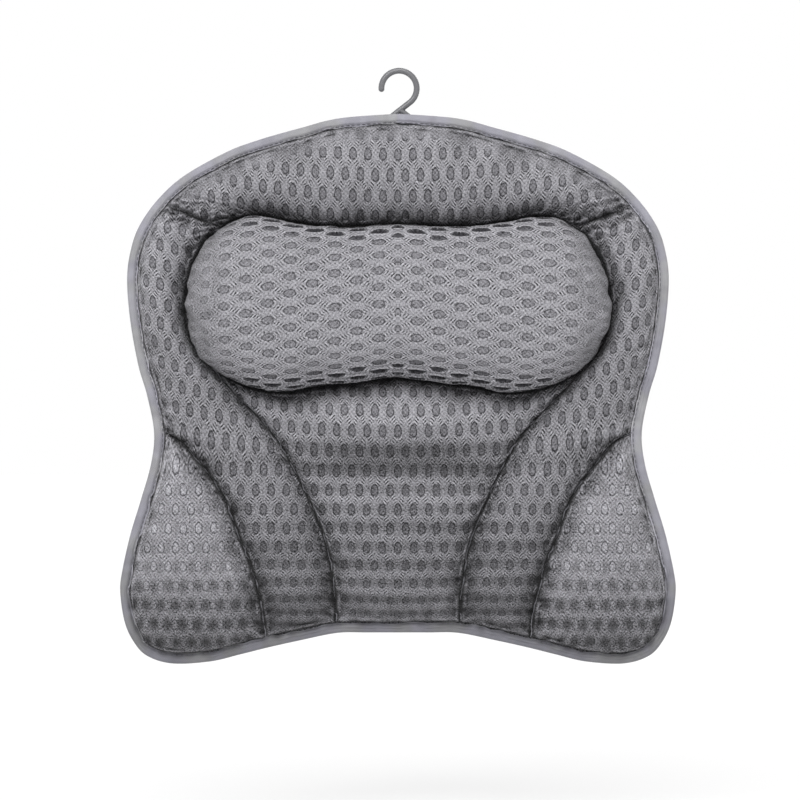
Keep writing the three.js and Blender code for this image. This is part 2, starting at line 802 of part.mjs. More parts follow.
// Hanging hook: one bent rod, a ring open at the left that runs down into a triangular eye
const rodRadius = hookRod / 2
const ringRadius = hookRingDiameter / 2 - rodRadius
const barDrop = hookRingAboveTop + hookBarBelowTop
const hookDepth = tapeBackDepth - 2 * sewnGap - loopThickness - rodRadius
const barLevel = topAboveOrigin - hookBarBelowTop
const slope = new THREE.Vector2(Math.sin(hookLeaveAngle), -Math.cos(hookLeaveAngle))

function onRing(angle) {
  return new THREE.Vector2(Math.cos(angle), Math.sin(angle)).multiplyScalar(ringRadius)
}

const ringLeave = onRing(hookLeaveAngle)
const shankLength = (ringLeave.y + barDrop) / -slope.y
const leftCorner = ringLeave.clone().addScaledVector(slope, shankLength)
const apexAlong = shankLength / 4
const apex = ringLeave.clone().addScaledVector(slope, apexAlong)
const rightCorner = new THREE.Vector2(2 * apex.x - leftCorner.x, -barDrop)
const strutShare = 0.97
const strutStart = apex.clone().add(rightCorner.clone().sub(apex).setLength(2 * hookRod))

// Both lower corners of the eye bend by the same angle, and this is how far each bend reaches
const eyeCornerAngle = Math.atan2(-slope.y, -slope.x)
const cornerReach = hookCornerRadius / Math.tan(eyeCornerAngle / 2)

function roundedCorner(before, corner, after, reach) {
  const back = before.clone().sub(corner).normalize()
  const on = after.clone().sub(corner).normalize()
  const points = []
  for (let i = 0; i <= cornerSteps; i += 1) {
    const share = i / cornerSteps
    const start = corner.clone().addScaledVector(back, reach * (1 - share))
    const end = corner.clone().addScaledVector(on, reach * share)
    points.push(start.lerp(end, share))
  }
  return points
}

function hookCentreLine() {
  const points = []
  for (let i = 0; i <= hookRingSteps; i += 1) {
    const angle = THREE.MathUtils.lerp(hookTipAngle, hookLeaveAngle, i / hookRingSteps)
    points.push(onRing(angle))
  }
  points.push(apex)
  points.push(...roundedCorner(apex, leftCorner, rightCorner, cornerReach))
  points.push(...roundedCorner(leftCorner, rightCorner, apex, cornerReach))
  points.push(strutStart)
  return points
}

function rodGeometry(points) {
  const section = new THREE.Shape()
  for (let i = 0; i < rodSides; i += 1) {
    const angle = 2 * Math.PI * (i + 0.5) / rodSides
    const place = [rodRadius * Math.cos(angle), rodRadius * Math.sin(angle)]
    if (i === 0) section.moveTo(...place)
    else section.lineTo(...place)
  }
  const route = points.map((each) => new THREE.Vector3(each.x, 0, each.y))
  const extrudePath = new THREE.CatmullRomCurve3(route, false, 'centripetal')
  const steps = Math.ceil(extrudePath.getLength() / hookStepLength)
  return new THREE.ExtrudeGeometry(section, { steps, extrudePath, bevelEnabled: false })
}

// The eye's closing side runs from the end of the bent rod into the shank
function strutGeometry() {
  const start = strutStart.clone().add(strutStart.clone().sub(apex).setLength(rodRadius))
  const run = apex.clone().sub(start)
  const radius = rodRadius * strutShare
  const strut = new THREE.CylinderGeometry(radius, radius, run.length(), rodSides)
  strut.rotateX(Math.PI / 2)
  strut.rotateY(Math.atan2(run.x, run.y))
  const middle = start.add(apex).multiplyScalar(1 / 2)
  return strut.translate(middle.x, 0, middle.y)
}

const hookLine = hookCentreLine()
const tipBall = new THREE.SphereGeometry(rodRadius * strutShare, rodSides, rodSides - 2)
tipBall.translate(hookLine[0].x, 0, hookLine[0].y)
const hookSolid = solidOf(rodGeometry(hookLine)).add(solidOf(strutGeometry())).add(solidOf(tipBall))
const hookMesh = addPart('hanging_hook', geometryOf(hookSolid), greyPlastic)
hookMesh.position.set(hookRingOffset, -hookDepth, topAboveOrigin + hookRingAboveTop)

// Hook loop: webbing folded round the eye's bar, its tail sewn flat on the back cover
const barMiddle = hookRingOffset + (leftCorner.x + rightCorner.x) / 2
const loopBore = rodRadius + sewnGap
const loopWidth = rightCorner.x - leftCorner.x - 2 * (cornerReach + runningGap)

function acrossCylinder(radius, length) {
  return new THREE.CylinderGeometry(radius, radius, length, eyeletSegments).rotateZ(Math.PI / 2)
}

function loopGeometry() {
  const tailTop = -loopBore - loopThickness / 2
  const tailFold = nets.arch[1][0].plan.y - barLevel
  const sewnDepth = backDepth - sewnGap - loopThickness - hookDepth
  const middleLine = [[0, tailTop], [sewnDepth, tailFold], [sewnDepth, tailFold - loopTailLength]]
  const near = middleLine.map(([depth, z]) => new THREE.Vector2(loopThickness - depth, z))
  const far = middleLine.map(([depth, z]) => new THREE.Vector2(-loopThickness - depth, z))
  const shape = new THREE.Shape([...near, ...far.reverse()])
  const tail = new THREE.ExtrudeGeometry(shape, { depth: loopWidth, bevelEnabled: false })
  tail.translate(0, 0, -loopWidth / 2)
  const lengthAlongX = new THREE.Matrix4().makeBasis(
    new THREE.Vector3(0, 1, 0), new THREE.Vector3(0, 0, 1), new THREE.Vector3(1, 0, 0),
  )
  tail.applyMatrix4(lengthAlongX)
  const fold = solidOf(acrossCylinder(loopBore + loopThickness, loopWidth))
  const bore = solidOf(acrossCylinder(loopBore, 2 * loopWidth))
  return geometryOf(fold.add(solidOf(tail)).subtract(bore))
}

addPart('hook_loop', loopGeometry(), webbing).position.set(barMiddle, -hookDepth, barLevel)

export default pillow
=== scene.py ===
import math

import bmesh
import bpy
import numpy as np
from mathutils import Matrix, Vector

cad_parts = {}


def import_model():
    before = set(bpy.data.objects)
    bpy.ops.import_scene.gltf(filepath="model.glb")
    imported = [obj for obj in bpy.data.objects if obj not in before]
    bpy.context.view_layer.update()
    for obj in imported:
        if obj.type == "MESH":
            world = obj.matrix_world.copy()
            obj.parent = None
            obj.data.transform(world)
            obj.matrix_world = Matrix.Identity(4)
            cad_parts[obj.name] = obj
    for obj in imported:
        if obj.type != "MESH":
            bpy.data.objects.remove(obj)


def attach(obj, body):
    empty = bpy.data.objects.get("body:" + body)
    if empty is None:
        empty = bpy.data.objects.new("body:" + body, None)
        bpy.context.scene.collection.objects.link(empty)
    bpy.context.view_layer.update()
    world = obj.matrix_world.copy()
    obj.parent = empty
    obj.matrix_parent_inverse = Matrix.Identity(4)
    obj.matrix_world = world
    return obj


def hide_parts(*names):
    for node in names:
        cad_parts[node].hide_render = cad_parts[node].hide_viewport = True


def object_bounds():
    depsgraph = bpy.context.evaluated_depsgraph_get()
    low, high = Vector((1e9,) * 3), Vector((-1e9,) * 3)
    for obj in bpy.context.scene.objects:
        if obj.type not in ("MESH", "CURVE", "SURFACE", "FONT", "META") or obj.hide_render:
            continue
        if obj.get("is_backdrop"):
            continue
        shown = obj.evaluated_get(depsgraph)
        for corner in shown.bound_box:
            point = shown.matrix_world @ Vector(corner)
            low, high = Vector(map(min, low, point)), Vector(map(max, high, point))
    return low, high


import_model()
cad_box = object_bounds()

# Bath pillow of quilted air mesh with a neck roll, suction cups and a hanging hook.
# Sizes are in millimetres, as in the part, and become metres when a mesh is made.
# x is to the right, z is up, and a depth is a distance in front of the wall.
MM = 0.001

# Sizes shared with the solids
pillow_width, pillow_height = 380, 376
roll_height, roll_below_top, roll_to_side, waist_below_roll = 121, 70, 44, 27
arch_crown, side_crown, band_crown, centre_crown, wing_crown = 20, 18, 14, 20, 17
corner_crease_height, back_crown = 8, 8
tape_thickness, tape_width, tape_to_cushion = 1, 7, 0.35
roll_lobe_crown, roll_waist_crown, roll_end_radius = 50, 44, 42
roll_undercut = math.radians(25)
cup_diameter, cup_depth, cup_hollow, cup_rim_width, cup_lip = 50, 12, 3.2, 3.5, 1.2
cup_shoulder, cup_shoulder_drop, neck_diameter = 15, 2, 8
middle_cup_spread, top_cup_spread, top_cup_below_top = 200, 116, 39
wing_cup_from_side, wing_cup_above_bottom = 48, 50
button_diameter, button_thickness = 13, 3.5
eyelet_flange, eyelet_barrel, eyelet_diameter = 0.9, 1, 16
tab_thickness, tab_width, tab_length, tab_bridge, tab_slope = 1.2, 22, 52, 20, 6
hook_rod, hook_ring_diameter, hook_ring_above_top, hook_ring_offset = 4.2, 28.4, 17.9, 0.8
hook_bar_below_top, hook_corner_radius, hook_apex_drop = 7.5, 2.8, 2.2
loop_thickness, loop_tail_length = 1.2, 10
sewn_gap, running_gap = 0.3, 0.4
front_sewn_thickness, back_sewn_thickness, button_clearance = 1.8, 1.3, 0.6
# The back swells this many times as fast as the front, and is cut off flat at its full height
back_flatness = 2.2

# Depths shared with the solids
eyelet_thickness = tab_thickness + 2 * (eyelet_flange + sewn_gap)
neck_length = eyelet_thickness + 2 * running_gap
back_depth = cup_depth + neck_length + button_thickness + button_clearance
back_seam_depth = back_depth + back_crown
cover_seam_depth = back_seam_depth + back_sewn_thickness + sewn_gap + front_sewn_thickness
tape_front_depth = cover_seam_depth + sewn_gap + tape_thickness
tape_back_depth = back_seam_depth - sewn_gap - tape_thickness
roll_seat = cover_seam_depth + sewn_gap
hook_depth = tape_back_depth - 2 * sewn_gap - loop_thickness - hook_rod / 2

half_width = pillow_width / 2
top_level = roll_below_top + roll_height / 2
roll_top_level = top_level - roll_below_top
waist_level = roll_top_level - roll_height - waist_below_roll
bottom_level = top_level - pillow_height
roll_half_length = half_width - roll_to_side

# Lines of the pillow, as shares of the sizes that they follow
UPPER_OUTLINE = {
    "top": [
        (0, 1), (0.209, 0.986), (0.352, 0.955), (0.504, 0.917),
        (0.619, 0.879), (0.77, 0.805), (0.862, 0.733),
    ],
    "side": [
        (0.928, 0.653), (0.96, 0.579), (0.975, 0.485), (0.964, 0.353),
        (0.935, 0.212), (0.903, 0.116), (0.878, 0),
    ],
}
LOWER_OUTLINE = {
    "wing_side": [
        (0.889, 0.864), (0.925, 0.71), (0.964, 0.555), (0.993, 0.398),
        (1, 0.312), (0.986, 0.19), (0.957, 0.105),
    ],
    "wing_foot": [(0.906, 0.035), (0.813, 0), (0.676, 0.0086), (0.568, 0.039), (0.468, 0.069)],
    "band_foot": [(0.352, 0.1), (0.219, 0.132)],
    "centre_foot": [(0.11, 0.134), (0, 0.134)],
}
ROLL_OUTLINE = {
    "top": [
        (0, 0.952), (0.267, 0.938), (0.375, 0.944), (0.52, 0.972),
        (0.637, 1), (0.735, 0.989), (0.829, 0.932),
    ],
    "end": [(0.913, 0.831), (0.97, 0.685), (1, 0.47), (0.974, 0.313), (0.927, 0.206), (0.867, 0.132)],
    "bottom": [(0.778, 0.07), (0.665, 0.02), (0.52, 0.003), (0.375, 0.031), (0.234, 0.054), (0, 0.09)],
}
INNER_SEAM = [
    (0.815, 0.902), (0.629, 0.813), (0.444, 0.699), (0.226, 0.496), (0.073, 0.305), (0.008, 0.102),
]
OUTER_SEAM = [
    (0.843, 0.957), (0.667, 0.857), (0.491, 0.746), (0.361, 0.627),
    (0.259, 0.488), (0.157, 0.364), (0.083, 0.244), (0.028, 0.124),
]

# Fabric: an air mesh knitted with oval holes in staggered rows
HOLE_PITCH, ROW_PITCH = 10.1, 12.8
HOLE_HALF = np.array([2.3, 3.85])
HOLE_TAPER = 0.16
# Centres of the holes in one repeat of the pattern, and of the bars between them, as shares of it
HOLES, BARS = ((0, 0), (0.5, 0.5)), ((0.5, 0), (0, 0.5))
ROLL_HOLE_PITCH, ROLL_ROW_PITCH = 11.5, 14.9
ROLL_STRETCH = np.array([HOLE_PITCH / ROLL_HOLE_PITCH, ROW_PITCH / ROLL_ROW_PITCH])
HOLE_DEPTH, BAR_RISE, BOSS_RISE = 0.7, 0.5, 0.55

# How far a net's rows and columns are drawn towards the seams, 0 for an even net
SEAM_FINENESS = 0.5
# Rows of the solids' own nets along each rail
END, INNER, SIDE, OUTER = 4, 10, 8, 6
# Steps of each stretch of the outline's fine line
FINE_STEPS = 400
# Runs along the left half's seams are moved on, so its folds don't mirror the right half's
MIDDLE_SHIFT, LEFT_SHIFT = 3, 400
FAR_AWAY = 100
MIRROR = np.array([-1, 1])


# Curves in the plan

def smooth_curve(points, start, end, steps):
    """Evenly spaced points of a smooth curve through points, from one of them to another."""
    points = np.asarray(points, float)
    last = len(points) - 1
    t = np.linspace(start, end, 60 * (end - start) + 1)
    i = np.minimum(t.astype(int), last - 1)
    w = (t - i)[:, None]
    before, here = points[np.maximum(i - 1, 0)], points[i]
    after, beyond = points[i + 1], points[np.minimum(i + 2, last)]
    slope_in, slope_out = (after - before) / 2, (beyond - here) / 2
    dense = (
        (2 * here - 2 * after + slope_in + slope_out) * w**3
        + (-3 * here + 3 * after - 2 * slope_in - slope_out) * w**2
        + slope_in * w
        + here
    )
    return even(dense, steps)


def even(points, steps):
    points = np.asarray(points, float)
    along = run_length(points)
    target = np.linspace(0, along[-1], steps + 1)
    return np.stack([np.interp(target, along, points[:, k]) for k in range(points.shape[1])], 1)


def run_length(points):
    return np.concatenate([[0], np.cumsum(np.linalg.norm(np.diff(points, axis=0), axis=1))])


def unit(vectors):
    return vectors / np.linalg.norm(vectors, axis=-1, keepdims=True)


def inwards(along):
    """The direction to the right of a step in the plan, which is inwards for a clockwise line."""
    return np.stack([along[:, 1], -along[:, 0]], 1)


def closed(points):
    return np.concatenate([points, points[:1]])


def at_depth(plan, depth):
    """Points of a plan, in x and z, at one depth or each at its own."""
    return np.stack([plan[..., 0], np.broadcast_to(depth, plan.shape[:-1]), plan[..., 1]], -1)


def placed(table, x_size, z_start, z_end):
    """Plan points of a table of shares."""
    z_size = z_end - z_start
    return {
        name: [(x_size * x, z_start + z_size * z) for x, z in shares]
        for name, shares in table.items()
    }


def stretches(places, steps):
    """The rails of one smooth line through all the places, each with its own number of steps."""
    points = [p for group in places.values() for p in group]
    rails, start, end = {}, 0, -1
    for name, group in places.items():
        end += len(group)
        rails[name] = smooth_curve(points, start, end, steps[name])
        start = end
    return rails


def inset_rail(points, distance):
    """The same rail moved inwards, for one that runs clockwise round the pillow."""
    return points + distance * inwards(unit(np.gradient(points, axis=0)))


def seam_line(start, foot, shares, steps):
    run = start - foot
    points = [start, *[foot + run * np.array(s) for s in shares], foot]
    return smooth_curve(points, 0, len(points) - 1, steps)


OUTLINE_PLACES = {
    **placed(UPPER_OUTLINE, half_width, waist_level, top_level),
    **placed(LOWER_OUTLINE, half_width, bottom_level, waist_level),
}
outline_order = list(OUTLINE_PLACES)
fine_rails = list(stretches(OUTLINE_PLACES, dict.fromkeys(outline_order, FINE_STEPS)).values())
half_outline = np.concatenate([fine_rails[0], *[rail[1:] for rail in fine_rails[1:]]])
foot_inset = inset_rail(half_outline, tape_width + tape_to_cushion)
foot_inset[0, 0] = foot_inset[-1, 0] = 0


def foot_rail(name, steps):
    """Where a panel's swell starts inside the binding, along one stretch of the outline."""
    first = FINE_STEPS * outline_order.index(name)
    return even(foot_inset[first: first + FINE_STEPS + 1], steps)


roll_places = placed(ROLL_OUTLINE, roll_half_length, roll_top_level - roll_height, roll_top_level)


def roll_rail(name, steps):
    return stretches(roll_places, dict.fromkeys(ROLL_OUTLINE, steps))[name]


upper_corner, lower_corner = roll_rail("end", END)[[0, -1]]
crease_start, waist, inner_foot, outer_foot = [
    foot_rail(name, END)[0] for name in ("side", "wing_side", "centre_foot", "band_foot")
]


def inner_seam(steps):
    return seam_line(lower_corner, inner_foot, INNER_SEAM, steps)


def outer_seam(steps):
    return seam_line(waist, outer_foot, OUTER_SEAM, steps)


def straight(start, end, steps):
    return even([start, end], steps)


# Swell of the quilting

def blended_net(first_row, last_row, first_column, last_column):
    """A net of plan points between four edges, each interior point blended from all four."""
    u = np.linspace(0, 1, len(first_row))[None, :, None]
    v = np.linspace(0, 1, len(first_column))[:, None, None]
    along = first_row[None] * (1 - v) + last_row[None] * v
    across = first_column[:, None] * (1 - u) + last_column[:, None] * u
    near = first_row[0] * (1 - u) + first_row[-1] * u
    far = last_row[0] * (1 - u) + last_row[-1] * u
    return along + across - (near * (1 - v) + far * v)


def swell(share):
    return np.maximum(0, np.sin(np.pi * np.clip(share, 0, 1))) ** 0.7


def flattened(swelled):
    return np.minimum(1, back_flatness * swelled)


def flat_swell(share):
    return flattened(swell(share))


def half_swell(share):
    return swell((1 - share) / 2)


def smoothstep(low, high, value):
    t = np.clip((value - low) / (high - low), 0, 1)
    return t * t * (3 - 2 * t)


def soft_noise(x, z, size, seed):
    """Smooth random heights from -1 to 1 with bumps of about one size, the same each run."""
    cells, middle = 64, 20
    table = np.random.default_rng(seed).uniform(-1, 1, (cells, cells))
    a, b = np.asarray(x) / size + middle, np.asarray(z) / size + middle
    i, j = np.floor(a).astype(int), np.floor(b).astype(int)
    s, t = a - i, b - j
    s, t = s * s * (3 - 2 * s), t * t * (3 - 2 * t)
    i0, i1, j0, j1 = i % cells, (i + 1) % cells, j % cells, (j + 1) % cells
    near = table[i0, j0] * (1 - s) + table[i1, j0] * s
    far = table[i0, j1] * (1 - s) + table[i1, j1] * s
    return near * (1 - t) + far * t


def noise_on(plan, size, seed):
    return soft_noise(plan[..., 0], plan[..., 1], size, seed)


def noise_along(run, size, seed, row=0):
    """The noise along one line, which is a row of its own."""
    return soft_noise(run, 0 * run + row, size, seed)


def gathers(distance, along, period, reach, height, seed):
    """Small folds across a seam, strongest a little way from it and gone at a few reaches."""
    wave = noise_along(along, period / 2, seed, row=7 * seed)
    near = 1 - np.exp(-((distance / (0.35 * reach)) ** 2))
    return height * wave * near * np.exp(-distance / reach)


def stitch_puckers(distance, along, pitch, reach, height, seed):
    """The even dimples that tight stitches pull into the cloth beside a seam, leaning a little."""
    wander = 1.4 * noise_along(along, 3 * pitch, seed, row=3 * seed)
    lean = 0.35 * distance
    wave = np.cos(2 * np.pi * (along + wander + lean) / pitch)
    near = 1 - np.exp(-((distance / (0.4 * reach)) ** 2))
    uneven = 0.6 + 0.4 * soft_noise(along, distance, 2.5 * pitch, seed + 1)
    return height * uneven * wave * near * np.exp(-distance / reach)


# Shares of the way down a side panel, and the crown of its front and of its back there
SIDE_RIDGE = (
    [0, 0.15, 0.5, 0.7, 0.93, 1],
    [corner_crease_height, side_crown, side_crown, band_crown, band_crown, 0],
)
SIDE_BACK = ([0, 0.93, 1], [back_crown, back_crown, 0])


def arch_swell(u, v):
    crown = arch_crown + (corner_crease_height - arch_crown) * u**4
    return crown * swell(v), back_crown * flat_swell(v)


def side_swell(u, v):
    return np.interp(v, *SIDE_RIDGE) * swell(u), np.interp(v, *SIDE_BACK) * flat_swell(u)


def wing_swell(u, v):
    return wing_crown * swell(u) * flat_swell(v), back_crown * flat_swell(u) * flat_swell(v)


def centre_swell(u, v):
    dip = 1 - 0.16 * np.exp(-(((v - 0.3) * INNER) ** 2))
    across, down = half_swell(u), flat_swell(v)
    return centre_crown * dip * across * down, back_crown * flattened(across) * down


def roll_base_swell(u, v):
    return 0 * u * v, back_crown * flattened(half_swell(u)) * flat_swell(v)


def closer_at_seams(count, from_middle):
    """Shares from 0 to 1 that lie closer together at the seams, where the folds are small."""
    share = np.linspace(0, 1, count + 1)
    if from_middle:
        return share + SEAM_FINENESS / np.pi * np.sin(np.pi * share)
    return share - SEAM_FINENESS / (2 * np.pi) * np.sin(2 * np.pi * share)


def resampled(net, shares, axis):
    """A net with its rows or columns moved to other shares of their run."""
    at = shares * (net.shape[axis] - 1)
    before = np.minimum(at.astype(int), net.shape[axis] - 2)
    weight = (at - before).reshape((-1, 1, 1) if axis == 0 else (1, -1, 1))
    return np.take(net, before, axis) * (1 - weight) + np.take(net, before + 1, axis) * weight


def panel(rows, columns, first_row, last_row, first_column, last_column, swell_of, both_halves):
    """One pocket of the quilt: plan points, front and back heights, and distances to its four seams."""
    across, down = closer_at_seams(columns, both_halves), closer_at_seams(rows, False)
    plan = blended_net(first_row, last_row, first_column, last_column)
    plan = resampled(resampled(plan, down, 0), across, 1)
    u = across[None, :] * np.ones((rows + 1, 1))
    v = down[:, None] * np.ones((1, columns + 1))
    front, back = swell_of(u, v)
    edges = {
        "start": (plan[:, :1], v), "end": (plan[:, -1:], v),
        "top": (plan[:1], u), "foot": (plan[-1:], u),
    }
    near = {}
    for name, (line, share) in edges.items():
        flat = line[0] if name in ("top", "foot") else line[:, 0]
        near[name] = (np.linalg.norm(plan - line, axis=2), share * run_length(flat)[-1])
    made = {"plan": plan, "front": front, "back": back, "near": near, "u": u, "v": v}
    if both_halves:
        made = whole(made)
    return made


def whole(half):
    """The right half of a net joined to its mirror image along the middle line."""
    def join(values, sign=1):
        return np.concatenate([sign * values[:, :0:-1], values], 1)

    plan = half["plan"]
    both = {"plan": np.stack([join(plan[..., 0], -1), join(plan[..., 1])], 2), "near": {}}
    for side, (distance, run) in half["near"].items():
        both["near"][side] = (join(distance), np.concatenate([-run[:, :0:-1] - MIDDLE_SHIFT, run], 1))
    for name in ("front", "back", "u", "v"):
        both[name] = join(half[name])
    return both


def mirrored(right):
    left = dict(right)
    left["plan"] = right["plan"] * MIRROR
    left["near"] = {side: (distance, run + LEFT_SHIFT) for side, (distance, run) in right["near"].items()}
    return left


# Rows and columns of the panels' fine nets
arch_rows, arch_columns = 92, 200
side_fineness, side_columns = 24, 66
side_rows = side_fineness * (SIDE + OUTER)
wing_rows, wing_columns = 31 * OUTER, 128
centre_rows, centre_columns = 19 * INNER, 124
base_rows, base_columns = 60, 80


def arch_panel():
    top, bottom = foot_rail("top", arch_columns), roll_rail("top", arch_columns)
    return panel(
        arch_rows, arch_columns, top, bottom,
        straight(top[0], bottom[0], arch_rows), straight(crease_start, upper_corner, arch_rows),
        arch_swell, True,
    )


def side_panel():
    fine = side_fineness
    outer = np.concatenate([foot_rail("side", fine * SIDE), outer_seam(fine * OUTER)[1:]])
    inner = np.concatenate([roll_rail("end", fine * END), inner_seam(fine * INNER)[1:]])
    crease = straight(crease_start, upper_corner, side_columns)
    foot = foot_rail("band_foot", side_columns)
    return panel(side_rows, side_columns, crease, foot, outer, inner, side_swell, False)


def wing_panel():
    """The wing starts a little below the waist, low, where its two seams are a few millimetres apart."""
    cut = 4
    outer = foot_rail("wing_side", wing_rows + cut)[cut:]
    inner = outer_seam(wing_rows + cut)[cut:]
    tip = straight(outer[0], inner[0], wing_columns)
    foot = foot_rail("wing_foot", wing_columns)
    made = panel(wing_rows, wing_columns, tip, foot, outer, inner, wing_swell, False)
    made["fullness"] = smoothstep(0, 30, made["near"]["start"][0] + made["near"]["end"][0])
    made["front"] = made["front"] * made["fullness"]
    return made


def centre_panel():
    top = roll_rail("bottom", centre_columns)[::-1]
    foot = foot_rail("centre_foot", centre_columns)[::-1]
    return panel(
        centre_rows, centre_columns, top, foot,
        straight(top[0], foot[0], centre_rows), inner_seam(centre_rows), centre_swell, True,
    )


def roll_base_panel():
    top = roll_rail("top", base_columns)
    bottom = roll_rail("bottom", base_columns)[::-1]
    return panel(
        base_rows, base_columns, top, bottom,
        straight(top[0], bottom[0], base_rows), roll_rail("end", base_rows), roll_base_swell, True,
    )


right_side, right_wing = side_panel(), wing_panel()
PANELS = {
    "upper_arch": arch_panel(),
    "centre_panel": centre_panel(),
    "right_side": right_side,
    "left_side": mirrored(right_side),
    "right_wing": right_wing,
    "left_wing": mirrored(right_wing),
    "roll_base": roll_base_panel(),
}

# Place of the fabric's pattern
# Cloth drawn over a swell shows less of its length in the plan, so the pattern closes up there.
GRID, GRID_SIZE = 2.0, 256
# The cell of the grid where x and z are 0
GRID_ORIGIN = np.array([128, 160])
STEEPEST = 1.6


def height_grid():
    """Mean height of the cushions' swell in each cell of an even grid over the plan."""
    total, count = np.zeros(GRID_SIZE**2), np.zeros(GRID_SIZE**2)
    for each in PANELS.values():
        cell = np.clip(np.floor(each["plan"] / GRID + GRID_ORIGIN).astype(int), 0, GRID_SIZE - 1)
        index = cell[..., 1] * GRID_SIZE + cell[..., 0]
        total += np.bincount(index.ravel(), each["front"].ravel(), GRID_SIZE**2)
        count += np.bincount(index.ravel(), minlength=GRID_SIZE**2)
    return (total / np.maximum(count, 1)).reshape(GRID_SIZE, GRID_SIZE)


def pattern_shift():
    """How far the flat pattern moves in x and z, from the slopes, spread evenly over the cover."""
    height = height_grid()
    slope_z, slope_x = np.gradient(height, GRID)
    wave = 2 * np.pi * np.fft.fftfreq(GRID_SIZE, GRID)
    kz, kx = np.meshgrid(wave, wave, indexing="ij")
    square = kx**2 + kz**2
    square[0, 0] = 1
    shifts = []
    for slope, k in ((slope_x, kx), (slope_z, kz)):
        extra = np.sqrt(1 + np.clip(slope, -STEEPEST, STEEPEST) ** 2) - 1
        shifts.append(np.real(np.fft.ifft2(-1j * k * np.fft.fft2(extra) / square)))
    return shifts


SHIFT_X, SHIFT_Z = pattern_shift()


def sample(grid, plan):
    """The value of a grid at plan points, blended from the four cells round each."""
    a, b = np.moveaxis(plan / GRID + (GRID_ORIGIN - 0.5), -1, 0)
    i, j = np.floor(a).astype(int), np.floor(b).astype(int)
    s, t = a - i, b - j
    return (
        grid[j, i] * (1 - s) * (1 - t) + grid[j, i + 1] * s * (1 - t)
        + grid[j + 1, i] * (1 - s) * t + grid[j + 1, i + 1] * s * t
    )


# The share of the cloth's extra length over a swell that the pattern takes up
GIVE = 0.55
# In the arch the rows lie 14.1 mm apart, in the lower panels the cloth is drawn together
ARCH_ROW_PITCH = 14.1
LEVELS = np.arange(-300, 200, 1.0)
FABRIC_LEVELS = np.cumsum(1 - (1 - ROW_PITCH / ARCH_ROW_PITCH) * smoothstep(-135, -45, LEVELS))
# Between the wings the cloth is drawn up towards the foot as well, and its rows close up
CLOSING = 0.1 * smoothstep(-150, -185, LEVELS) + 0.35 * smoothstep(-190, -222, LEVELS)
DRAWN_UP = np.cumsum(CLOSING[::-1])[::-1]
# A row of holes crosses the middle line here in the arch, and a row between two holes here under the roll
ARCH_ROW, CENTRE_ROW = 73.0, -72.5


def pattern_place(plan, in_wing=False):
    """Where a plan point lies on the fabric before it was sewn, in millimetres."""
    x, z = plan[..., 0], plan[..., 1]
    row_rise = 6.2 * (x / 90) ** 2 * smoothstep(-125, -75, z)
    along = np.interp(z, LEVELS, FABRIC_LEVELS) + GIVE * sample(SHIFT_Z, plan) - row_rise
    if not in_wing:
        along = along - np.interp(z, LEVELS, DRAWN_UP)
    phase = CENTRE_PHASE + (ARCH_PHASE - CENTRE_PHASE) * smoothstep(-60, 60, z)
    return np.stack([x + GIVE * sample(SHIFT_X, plan), along + phase], 2)


def row_phase(level, rows_from_start):
    """How far the pattern moves for a row to cross the middle line at one level."""
    shift = float(sample(SHIFT_Z, np.array([[0.0, level]]))[0])
    at = np.interp(level, LEVELS, FABRIC_LEVELS) + GIVE * shift
    return (rows_from_start * ROW_PITCH - at + ROW_PITCH) % (2 * ROW_PITCH) - ROW_PITCH


ARCH_PHASE, CENTRE_PHASE = row_phase(ARCH_ROW, 0), row_phase(CENTRE_ROW, 1)


def nearest_oval(place, half, offsets):
    """Distance from the centre of the nearest oval of a staggered pattern, 1 on its rim."""
    size = np.array([HOLE_PITCH, 2 * ROW_PITCH])
    nearest = None
    for offset in offsets:
        local = ((place + np.array(offset) * size + size / 2) % size - size / 2) / half
        distance = np.hypot(local[..., 0] * (1 + HOLE_TAPER * local[..., 1]), local[..., 1])
        nearest = distance if nearest is None else np.minimum(nearest, distance)
    return nearest


def knit_relief(place, openness, hole_half=HOLE_HALF):
    """Height of the knit: oval hollows, or bosses where it lies inside out, and bars between."""
    hole = nearest_oval(place, hole_half, HOLES)
    bar = nearest_oval(place, HOLE_HALF * np.array([0.95, 1.5]), BARS)
    hollow = HOLE_DEPTH * np.maximum(openness, 0) * (1 - smoothstep(0.62, 1.08, hole))
    boss = BOSS_RISE * np.maximum(-openness, 0) * (1 - smoothstep(0.3, 1.15, hole))
    return BAR_RISE * np.minimum(1, np.abs(openness)) * (1 - smoothstep(0.3, 1.3, bar)) - hollow + boss


# Meshes

